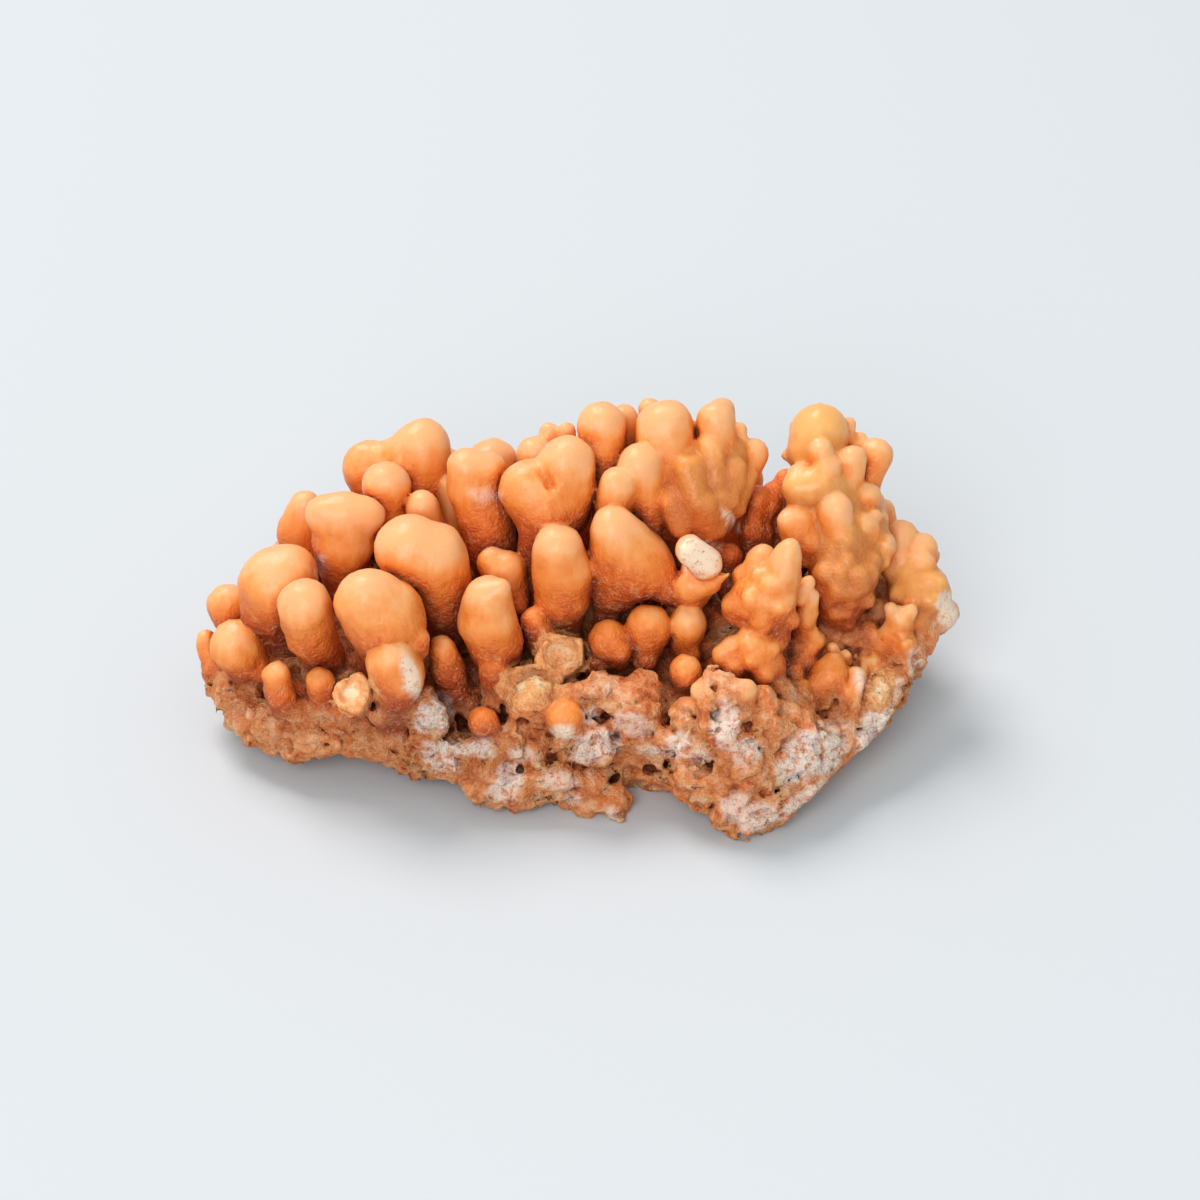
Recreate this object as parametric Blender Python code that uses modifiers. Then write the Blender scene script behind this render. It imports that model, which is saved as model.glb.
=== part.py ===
"""Finger calcite: rounded orange fingers grown side by side on a thin porous crust.

The whole piece grew as one body, so it is one closed solid.  Each finger is a
chain of balls joined by tapered stems; the crust is made of the same chains,
lower and fatter.  The chains are grown together into one skin, cut flat where
the piece rests, and the larger hollows in the crust are cut out of it.
"""
import bpy
import bmesh
from math import radians, sin, cos, sqrt, ceil
from mathutils import Matrix, Vector

# ------------------------------------------------------------ driving dimensions
MM = 0.001                      # the tables below are in millimetres
SIGHT_ELEVATION = radians(35.0) # the front of the piece is measured along a sight line this steep
SIGHT_DISTANCE = 600.0          # mm from the eye to the aim point
SIGHT_SCALE = 6.1               # sight units per millimetre at the aim point
AIM = (3.6, 0.0, 25.6)          # mm, the point at sight position (600, 600)
ORIGIN = (-0.35, 3.05, 0.0)     # mm, the middle of the footprint in the measuring frame
BASE_Z = 0.0                    # mm, height of the flat cut that the piece rests on
GROWTH = 0.8                    # mm, cell size of the skin that joins the chains
SOFTEN = 4                      # passes that round the creases between fingers
FACETS = 7000                   # triangles kept on the finished solid

# Fingers: name, blend in mm, chains of (across, down, depth mm, radius) from tip to root, across, down and radius in sight units.
# l.. are single fingers numbered from left to right, t.. the knobbed towers on the right, v.. the wall of the valley between them.
FINGERS = [
 ("l01", 1.2, [[(289,573,-1,29),(277,586,-2,37)], [(277,586,-2,37),(271,608,-1,31),(288,640,1,22),(300,662,3,16)]]),
 ("l02", 1.0, [[(228,605,5,21),(240,630,6,20),(262,655,7,16)]]),
 ("l03", 0.8, [[(237,646,-4,27),(252,664,-2,24),(275,685,0,18)]]),
 ("l04", 0.8, [[(204,637,4,8.5),(222,650,6,9)]]),
 ("l06", 0.5, [[(305,606,-11,27.5),(311,634,-9,25.5),(324,658,-7,21),(338,680,-5,16)]]),
 ("l07", 0.5, [[(369,602,-14,34),(385,619,-14,41),(391,640,-12,35),(378,668,-9,22),(380,690,-6,16)]]),
 ("l08", 0.5, [[(391,663,-20,26),(397,675,-20,28.5),(397,705,-18,19),(398,735,-15,14)]]),
 ("l09", 0.5, [[(410,549,-4,35),(431,558,-4,36.5),(444,600,-3,30),(447,640,-1,22),(447,665,0,18)]]),
 ("l10", 2.0, [[(325,514,5,19),(346,513,5,20),(370,514,5,17)], [(346,520,5,24),(343,543,5,31),(337,578,6,14),(335,605,7,14)]]),
 ("l11", 0.5, [[(305,505,13,15),(298,532,13,21),(306,560,12,19),(315,595,12,14)]]),
 ("l12", 3.0, [[(369,466,19,22),(386,464,19,21),(404,457,19,23),(422,446,19,25)], [(422,450,19,25),(418,475,18,28),(410,510,17,24),(402,545,15,16),
      (398,580,13,14)], [(369,468,19,22),(376,500,18,22),(390,530,16,18)]]),
 ("l13", 0.5, [[(385,486,11,25),(391,512,11,20),(398,550,10,13),(400,590,9,12)]]),
 ("l14", 0.5, [[(422,508,8,17.5),(430,530,8,18),(436,570,7,14),(436,600,6,12)]]),
 ("l15", 1.0, [[(467,467,9,20),(476,487,9,28),(485,512,8,29),(489,540,7,27),(496,575,6,20),(498,605,5,16)], [(486,472,9,21),(478,487,9,27)]]),
 ("l16", 0.5, [[(504,451,18,22),(507,480,17,20),(508,520,15,16),(505,570,12,14)]]),
 ("l17", 2.2, [[(529,489,4,27),(546,478,5,18),(567,463,6,25)], [(529,489,4,27),(545,507,3,34),(545,530,2,26),(534,550,2,16),(534,590,2,13),
      (536,625,2,12)], [(567,463,6,25),(571,485,5,25),(563,512,4,27),(548,535,3,20)]]),
 ("l18", 0.5, [[(535,455,13,18),(535,490,12,16),(530,560,8,12)]]),
 ("l19", 0.5, [[(549,432,16,9.5),(552,455,15,9)]]),
 ("l20", 0.5, [[(567,431,15,9),(570,455,14,9)]]),
 ("l20b", 0.8, [[(560,462,14,22),(560,500,12,20),(560,560,8,16)]]),
 ("l21", 0.5, [[(601,427,12,25),(603,447,11,22),(607,480,9,18),(608,540,7,15),(606,600,5,14)]]),
 ("l22", 0.5, [[(624,418,17,14),(626,450,15,14)]]),
 ("l23", 0.5, [[(650,410,20,12),(652,440,18,14)]]),
 ("l24", 0.7, [[(665,428,12,29),(665,446,11,30),(668,480,9,26)]]),
 ("l25a", 0.7, [[(716,421,12,19.5),(719,445,11,17),(712,475,9,16)]]),
 ("l25b", 0.7, [[(720,412,17,15),(722,440,15,14)]]),
 ("l25c", 0.7, [[(739,430,14,8),(738,450,13,9)]]),
 ("l26", 0.8, [[(753,454,13,16.5),(744,475,11,15),(730,500,9,14)]]),
 ("t1", 2.0, [[(672,455,13,26),(690,478,10,34),(693,505,7,31),(702,528,6,21),(710,545,5,10)], [(725,460,11,22),(722,490,9,24),(716,512,7,20)],
      [(660,500,8,22),(670,525,7,18)], [(694,505,7,30),(690,560,8,22),(690,600,8,24)]]),
 ("l28", 0.5, [[(640,466,6,22),(645,493,5,19),(650,520,4,15),(652,560,4,14),(650,600,4,13)]]),
 ("l29", 0.5, [[(617,486,3,18.5),(614,505,3,18.5),(612,535,3,17),(612,580,3,14)]]),
 ("l30", 2.0, [[(614,529,-2,21),(624,542,-2,27),(636,563,-2,32),(662,584,-3,20),(676,590,-4,15)], [(614,529,-2,21),(612,560,-2,24),(609,592,-2,18),
      (607,612,-2,14),(607,640,0,13)], [(636,563,-2,32),(622,588,-2,24)]]),
 ("l31", 0.6, [[(700,559,-3,19),(694,586,-4,18),(690,600,-3,14)], [(690,600,-3,14),(690,640,0,13)]]),
 ("l32", 0.5, [[(558,549,-4,25.5),(562,571,-4,30),(562,595,-4,28),(566,622,-3,17),(568,650,-1,13)]]),
 ("l33", 0.5, [[(487,599,-11,23.5),(488,621,-11,30),(494,642,-10,28),(498,668,-8,20),(500,690,-6,15)]]),
 ("l34", 0.8, [[(491,561,0,14),(498,580,0,15)], [(506,571,-1,20),(514,594,-1,17),(516,625,0,13)]]),
 ("l35", 0.8, [[(534,620,-7,13.5),(542,638,-7,17),(548,660,-7,14)]]),
 ("l36", 0.5, [[(443,649,-12,14),(448,667,-12,18),(455,688,-12,17),(458,710,-11,12)]]),
 ("l37", 0.6, [[(609,641,-9,21),(608,660,-7,14)]]),
 ("l38", 0.6, [[(648,625,-8,22),(646,646,-8,17.5),(644,665,-6,12)], [(660,634,-8.5,10)]]),
 ("l39", 0.6, [[(688,624,-7,19),(685,643,-6,15.5),(684,665,-5,12)]]),
 ("l40", 0.6, [[(686,671,-14,16),(686,690,-12,12)]]),
 ("l42", 0.8, [[(493,668,-14,14),(497,680,-14,17),(500,700,-13,14)]]),
 ("l43", 0.8, [[(565,718,-22,19),(565,725,-19,17)]]),
 ("l44", 0.8, [[(484,722,-21,16),(486,740,-19,13)]]),
 ("l45", 0.8, [[(277,676,-13,14.5),(281,695,-13,15),(290,712,-11,14)]]),
 ("l46", 0.8, [[(320,682,-14,15),(324,698,-13,13)]]),
 ("l47", 0.8, [[(354,694,-18,16),(356,705,-16,15)]]),
 ("l48", 1.5, [[(787,558,-7,15),(782,575,-7,19),(768,600,-8,28),(768,625,-8,24),(765,660,-6,20),(765,690,-4,18)], [(762,559,-2,15),(762,585,-4,22),
      (764,600,-6,26)], [(742,614,-8,16),(750,600,-7,20)]]),
 ("l48b", 0.8, [[(808,583,-5,8),(800,592,-5,10)], [(812,595,-5,7.5),(806,612,-5,12),(800,635,-4,12)]]),
 ("l49", 1.2, [[(728,643,-12,11),(740,652,-12,14)], [(757,652,-13,20),(766,667,-13,20),(768,690,-12,16)]]),
 ("l50", 0.8, [[(819,433,16,30),(812,450,14,25)]]),
 ("l50b", 0.8, [[(787,455,15,7),(800,462,14,9)]]),
 ("l50c", 0.8, [[(849,424,18,7),(845,440,17,9)]]),
 ("l50d", 0.8, [[(859,440,18,8.5),(855,460,15,9)]]),
 ("l51", 0.7, [[(876,455,15,17.5),(871,476,13,12),(866,490,12,12)]]),
 ("l53", 0.7, [[(853,459,11,14),(852,476,10,12.5)]]),
 ("l54", 0.7, [[(824,451,10,10),(824,462,10,10)]]),
 ("l55", 0.7, [[(827,468,8,11),(827,480,8,11)]]),
 ("l56", 0.7, [[(797,474,9,9),(800,484,9,10)]]),
 ("l57", 1.0, [[(800,488,7,18),(818,486,7,19),(834,486,8,14)]]),
 ("l58", 0.7, [[(837,509,4,17),(838,525,3,14)]]),
 ("l59", 0.7, [[(795,522,4,17),(799,541,3,17)]]),
 ("l60", 0.7, [[(865,526,5,14),(862,540,4,13)]]),
 ("l61", 0.7, [[(868,495,9,13.5),(862,505,9,12)]]),
 ("l62", 0.7, [[(878,518,8,9),(872,525,8,9)]]),
 ("l63", 0.7, [[(883,545,5,14),(874,552,5,13)]]),
 ("t2", 1.6, [[(824,470,15,24),(830,510,12,27),(838,545,7,31),(843,572,2,34),(838,600,1,27),(834,628,1,14),(832,660,2,14)], [(840,560,12,30),
      (845,620,10,28)]]),
 ("l65", 0.8, [[(902,534,11,15),(898,555,9,16)]]),
 ("l66", 0.8, [[(923,547,10,14.5),(917,565,8,17)]]),
 ("t3", 1.5, [[(905,570,8,20),(919,590,6,28),(934,614,5,22),(948,612,6,11)], [(919,590,6,28),(905,630,3,24)]]),
 ("l69", 0.6, [[(900,619,-2,12),(898,630,-1,13)], [(910,611,-2,7),(903,622,-1,9)], [(890,609,-2,7),(896,622,-1,9)], [(898,644,-3,10),
      (896,652,-1,11)]]),
 ("l70", 0.8, [[(814,640,-5,12),(806,657,-6,12.5),(803,672,-7,9)]]),
 ("l71", 0.6, [[(833,648,-5,7),(830,658,-5,8)], [(846,655,-6,6.5),(840,664,-6,8)]]),
 ("l72", 0.8, [[(834,661,-8,10),(829,677,-9,21)]]),
 ("l73", 0.8, [[(856,673,-9,8),(850,700,-12,8),(852,726,-14,8)]]),
 ("l12b", 0.5, [[(449,486,15,9),(451,510,14,12),(450,560,11,14),(450,600,9,12)]]),
 # the wall of the valley between the towers
 ("v1", 1.0, [[(772,490,14,10),(768,505,12,14)], [(757,500,12,15),(755,530,10,18),(760,570,9,20)], [(785,480,15,12),(785,520,13,18),
      (790,560,11,20)], [(728,557,3,14),(728,580,4,14)]]),
]

# front of the matrix, seen along the same sight lines: (blend, chain)

# the front of the crust: (blend mm, chain), along the lower rim from left to right, then the shoulder and the raised block
CRUST_FRONT = [
 # lower rim, left to right
 (1.5,[(216,672,2,13),(224,686,-1,15),(240,708,-6,20)]), (1.5,[(240,708,-6,20),(264,725,-10,24),(300,736,-13,25),(345,730,-15,22),(385,736,-16,23),
      (420,752,-17,26),(450,752,-18,23)]),
 (1.2,[(450,752,-18,21),(486,773,-20,28)]), (1.2,[(490,772,-21,33),(512,778,-21,32)]), (1.2,[(525,772,-21,31),
      (560,772,-21,30)]), (1.0,[(566,770,-20,30),(588,788,-21,28)]), (0.8,[(590,786,-21,26),(611,803,-23,20),(616,812,-23,13)]),
 (1.0,[(600,770,-17,26),(640,752,-15,28),(668,760,-17,26)]), (1.2,[(668,760,-20,22),(700,776,-25,27),(734,803,-27,27)]), (1.0,[(736,802,-27,28),
      (742,821,-28,20),(724,830,-28,9)]),
 (1.2,[(745,812,-28,26),(772,800,-27,24),(800,780,-24,25),(835,750,-18,22),(862,718,-13,22),(886,686,-8,19)]), (1.2,[(886,686,-8,18),(906,656,-2,17),
      (926,630,2,14),(946,610,5,9)]),
 # shoulder above the rim
 (1.5,[(300,718,-12,22),(345,712,-13,22),(385,720,-14,20)]),
 (1.0,[(425,716,-20,19),(430,735,-19,19)]), (1.0,[(432,742,-20,9),(455,748,-20,9),(485,752,-22,12)]),
 (1.2,[(500,742,-20,24),(540,745,-20,24),(580,742,-21,24)]), (1.0,[(592,745,-23,22),(575,738,-22,22)]),
 (1.0,[(637,708,-17,30),(625,725,-18,26)]), (1.0,[(590,705,-18,20),(606,690,-16,16)]), (1.0,[(545,718,-19,22),(520,712,-17,20)]),
 (0.8,[(664,738,-22,11),(690,740,-23,12)]), (0.8,[(640,742,-20,16),(668,740,-20,13)]),
 # the raised block and the right shoulder
 (1.2,[(722,703,-22,29),(728,728,-24,31),(742,760,-26,31)]), (1.2,[(728,710,-22,26),(762,726,-22,28),(800,738,-20,28),
      (830,742,-17,20)]), (1.2,[(742,765,-26,30),(790,760,-23,30)]),
 (1.0,[(872,696,-7,14),(880,705,-8,16)]), (1.0,[(690,720,-21,20),(700,745,-23,22)]),
]

# hollows in the crust, in the same form
HOLLOWS = [
 [(630,772,-26,15),(655,764,-25,10)], [(606,716,-22.5,6),(608,718,-18,6)], [(671,727,-23,5),(671,730,-19,5)], [(468,722,-20,11),(466,715,-12,9)],
 [(518,771,-27,6),(518,770,-22,5)], [(777,790,-31,6),(776,790,-24,5)], [(752,792,-31.5,8),(800,778,-29,6)], [(445,768,-25,7),(470,770,-25,6)],
      [(690,782,-31,5),(690,780,-26,5)],
]
# body of the matrix, world mm (x, y, z, r) chains

# the body of the crust: chains of (x, y, z, radius) in mm
CRUST_BODY = [
 [(-52,2,13,6),(-30,4,10,10),(0,4,8,13),(30,4,9,13),(50,11,15,8)],
 [(-44,16,12,8),(0,18,9,12),(38,18,11,10)],
 [(36,-10,7,8),(44,-6,9,8),(50,2,12,7)], [(30,0,10,12),(44,6,12,11)],
 [(-45,-5,12,6),(-25,-7,10,8),(0,-9,7,9),(20,-13,8,10),(30,-12,9,10)],
 [(-44,20,12,7),(-20,25,9,9),(8,26,9,9),(34,24,11,9),(50,17,14,7)],
]

# back fingers: tip centre x, y, z, radius, lean in x and y, length, all in mm
BACK_FINGERS = [
 (-50,13,24,4.4,-5,3,12),(-46,19,25,4.0,-4,4,12),(-40,23,25.5,4.6,-2,4,13),(-32,25,34,4.2,-1,4,15),(-24,24,36.5,4.6,0,3,18),(-15,26,36,4.8,1,4,18),
      (-6,24,40,4.2,0,3,20),
 (3,27,37.5,5.0,0,4,18),(11,24.5,42,4.2,0,3,20),(19,27,38,4.6,1,4,18),(26.5,24,34,3.8,1,3,16),(34,27,25.5,4.2,1,4,12),(41,25,37,4.6,2,3,17),
      (48,21,30,4.0,3,3,13),(55,17,24.5,3.6,4,2,10),
 (-42,28,22,3.8,-2,5,9),(-30,30,26,4.6,-1,6,12),(-19,31.5,25,4.0,0,6,12),(-9,31,30,4.8,0,6,15),(2,33,26,4.2,0,6,12),(12,31.5,31,4.6,0,6,15),
      (23,33,25,4.0,1,6,11),(32,31.5,23,4.6,1,6,11),(42,30,26,4.0,2,5,12),(50,26,20,3.4,3,4,9),
 (-36,31,16,3.0,-1,4,6),(-25,33,16,3.2,0,4,6),(-12,34,17,3.2,0,4,6),(-3,34.5,18,2.8,0,4,6),(8,35,17,3.2,0,4,6),(18,34.5,16,3.0,0,4,6),
      (28,34.5,15,2.8,0,4,6),(38,32.5,16,3.0,1,4,6),
 (-56,6,18,3.2,-4,1,7),(-55,11,16,2.8,-4,2,6),
]


def sight(u, v, y):
    """The point that is seen at (u, v) and lies at depth y, with the size of one sight unit there."""
    c, s = cos(SIGHT_ELEVATION), sin(SIGHT_ELEVATION)
    eye = (AIM[0], AIM[1] - SIGHT_DISTANCE * c, AIM[2] + SIGHT_DISTANCE * s)
    focal = SIGHT_DISTANCE * SIGHT_SCALE
    a, b = (u - 600.0) / focal, (600.0 - v) / focal
    ray = (a, c + b * s, -s + b * c)
    t = (y - eye[1]) / ray[1]
    return (eye[0] + t * ray[0], y, eye[2] + t * ray[2]), t / focal


def from_sight(chain):
    balls = []
    for u, v, y, r in chain:
        p, unit = sight(u, v, y)
        balls.append((p[0], p[1], p[2], r * unit))
    return balls


def back_finger(x, y, z, r, lean_x, lean_y, length):
    """A finger at the back: a round tip, a slight swelling below it and a thinner root."""
    return [(x - lean_x * t, y - lean_y * t, z - length * t, r * k)
            for t, k in ((0.0, 0.93), (0.22, 1.05), (0.6, 0.86), (1.0, 0.66))]


def place(x, y, z):
    return Vector(((x - ORIGIN[0]) * MM, (y - ORIGIN[1]) * MM, (z - ORIGIN[2]) * MM))


def add_chain(bm, balls):
    """Balls joined by stems that touch both balls along their tangent circles."""
    for x, y, z, r in balls:
        bmesh.ops.create_uvsphere(bm, u_segments=16, v_segments=10, radius=r * MM,
                                  matrix=Matrix.Translation(place(x, y, z)))
    for (xa, ya, za, ra), (xb, yb, zb, rb) in zip(balls, balls[1:]):
        a, b = place(xa, ya, za), place(xb, yb, zb)
        axis = b - a
        length = axis.length
        lean = (ra - rb) * MM / length
        if abs(lean) >= 0.98:           # one ball lies inside the other
            continue
        axis.normalize()
        side = sqrt(1.0 - lean * lean)
        low, high = a + axis * (ra * MM * lean), b + axis * (rb * MM * lean)
        turn = Vector((0, 0, 1)).rotation_difference(axis).to_matrix().to_4x4()
        bmesh.ops.create_cone(bm, cap_ends=True, segments=16,
                              radius1=ra * MM * side, radius2=rb * MM * side,
                              depth=(high - low).length,
                              matrix=Matrix.Translation((low + high) / 2) @ turn)


def chains_object(name, chains, collection):
    whole = bmesh.new()
    piece = bpy.data.meshes.new("chain")
    for chain in chains:
        bm = bmesh.new()
        add_chain(bm, chain)
        bm.to_mesh(piece)
        bm.free()
        whole.from_mesh(piece)
    bpy.data.meshes.remove(piece)
    mesh = bpy.data.meshes.new(name)
    whole.to_mesh(mesh)
    whole.free()
    obj = bpy.data.objects.new(name, mesh)
    collection.objects.link(obj)
    return obj


def apply_modifiers(obj):
    depsgraph = bpy.context.evaluated_depsgraph_get()
    mesh = bpy.data.meshes.new_from_object(obj.evaluated_get(depsgraph))
    old = obj.data
    obj.modifiers.clear()
    obj.data = mesh
    bpy.data.meshes.remove(old)
    mesh.name = obj.name


def keep_outer_skin(obj):
    """Only the largest skin stays: no closed pocket inside and no loose crumb."""
    bm = bmesh.new()
    bm.from_mesh(obj.data)
    unseen, skins = set(bm.verts), []
    while unseen:
        front = [unseen.pop()]
        skin = [front[0]]
        while front:
            v = front.pop()
            for e in v.link_edges:
                w = e.other_vert(v)
                if w in unseen:
                    unseen.discard(w)
                    front.append(w)
                    skin.append(w)
        skins.append(skin)
    skins.sort(key=len)
    for skin in skins[:-1]:
        bmesh.ops.delete(bm, geom=skin, context='VERTS')
    bmesh.ops.recalc_face_normals(bm, faces=bm.faces)
    bm.to_mesh(obj.data)
    bm.free()


def calcite_material():
    mat = bpy.data.materials.new("orange_calcite")
    mat.use_nodes = True
    shader = mat.node_tree.nodes["Principled BSDF"]
    shader.inputs["Base Color"].default_value = (0.78, 0.34, 0.12, 1.0)
    shader.inputs["Roughness"].default_value = 0.42
    shader.inputs["Metallic"].default_value = 0.0
    mat.diffuse_color = (0.78, 0.34, 0.12, 1.0)
    return mat


def main():
    for obj in list(bpy.data.objects):
        bpy.data.objects.remove(obj, do_unlink=True)
    scene = bpy.context.scene
    parts = bpy.data.collections.new("calcite_specimen")
    cutters = bpy.data.collections.new("cutters")
    scene.collection.children.link(parts)
    scene.collection.children.link(cutters)

    # the grown body: crust, front fingers and back fingers in one skin
    chains = [list(c) for c in CRUST_BODY]
    chains += [from_sight(c) for _, c in CRUST_FRONT]
    for _, _, finger in FINGERS:
        chains += [from_sight(c) for c in finger]
    chains += [back_finger(*row) for row in BACK_FINGERS]
    body = chains_object("calcite_specimen", chains, parts)
    grow = body.modifiers.new("grow_together", 'REMESH')
    grow.mode = 'VOXEL'
    grow.voxel_size = GROWTH * MM
    grow.adaptivity = 0.0
    apply_modifiers(body)
    keep_outer_skin(body)

    soften = body.modifiers.new("soften", 'SMOOTH')
    soften.factor = 0.5
    soften.iterations = SOFTEN
    apply_modifiers(body)
    thin = body.modifiers.new("facets", 'DECIMATE')
    thin.ratio = min(1.0, FACETS / (2.0 * len(body.data.polygons)))
    apply_modifiers(body)

    # the flat underside
    slab = bpy.data.meshes.new("underside_cutter")
    bm = bmesh.new()
    bmesh.ops.create_cube(bm, size=1.0)
    bmesh.ops.scale(bm, vec=(0.2, 0.2, 0.04), verts=bm.verts)
    bmesh.ops.translate(bm, vec=(0.0, 0.0, BASE_Z * MM - 0.02), verts=bm.verts)
    bm.to_mesh(slab)
    bm.free()
    underside = bpy.data.objects.new("underside_cutter", slab)
    cutters.objects.link(underside)

    # the open hollows under the front ledge
    hollow = chains_object("hollow_cutter", [from_sight(c) for c in HOLLOWS], cutters)
    join = hollow.modifiers.new("join", 'REMESH')
    join.mode = 'VOXEL'
    join.voxel_size = 0.8 * MM
    apply_modifiers(hollow)

    for cutter in (hollow, underside):
        cutter.hide_render = True
        cutter.display_type = 'WIRE'
        cut = body.modifiers.new("cut_" + cutter.name, 'BOOLEAN')
        cut.operation = 'DIFFERENCE'
        cut.object = cutter
        cut.solver = 'EXACT'

    body.data.materials.clear()
    body.data.materials.append(calcite_material())
    body.data.shade_smooth()


main()
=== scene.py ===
import bpy
import numpy as np
from math import radians, sin, cos, ceil
from mathutils import Vector, Matrix


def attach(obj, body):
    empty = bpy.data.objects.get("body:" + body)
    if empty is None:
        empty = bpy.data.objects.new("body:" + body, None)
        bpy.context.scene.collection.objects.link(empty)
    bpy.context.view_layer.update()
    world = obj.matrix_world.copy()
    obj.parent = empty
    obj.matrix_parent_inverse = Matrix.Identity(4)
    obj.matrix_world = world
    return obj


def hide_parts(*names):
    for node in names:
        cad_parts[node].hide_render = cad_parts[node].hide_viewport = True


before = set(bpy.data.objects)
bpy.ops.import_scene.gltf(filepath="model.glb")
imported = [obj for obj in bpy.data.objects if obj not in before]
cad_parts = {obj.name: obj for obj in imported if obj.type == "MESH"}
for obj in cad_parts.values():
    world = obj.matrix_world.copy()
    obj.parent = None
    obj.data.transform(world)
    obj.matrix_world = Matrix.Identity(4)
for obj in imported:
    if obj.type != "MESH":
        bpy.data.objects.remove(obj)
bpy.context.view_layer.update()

# ---------------------------------------------------------------- measures, in mm unless said
MM = 0.001
SIGHT_ELEVATION = radians(35.0)
SIGHT_DISTANCE = 600.0
SIGHT_SCALE = 6.1
AIM = (3.6, 0.0, 25.6)
ORIGIN = (-0.35, 3.05, 0.0)
CELL = 0.42                # cell size of the field that the surface is drawn from
TRIANGLES = 194000         # kept on the finished surface
LOW, HIGH = (-66.5, -36.0, -1.7), (66.0, 41.0, 58.0)

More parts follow.
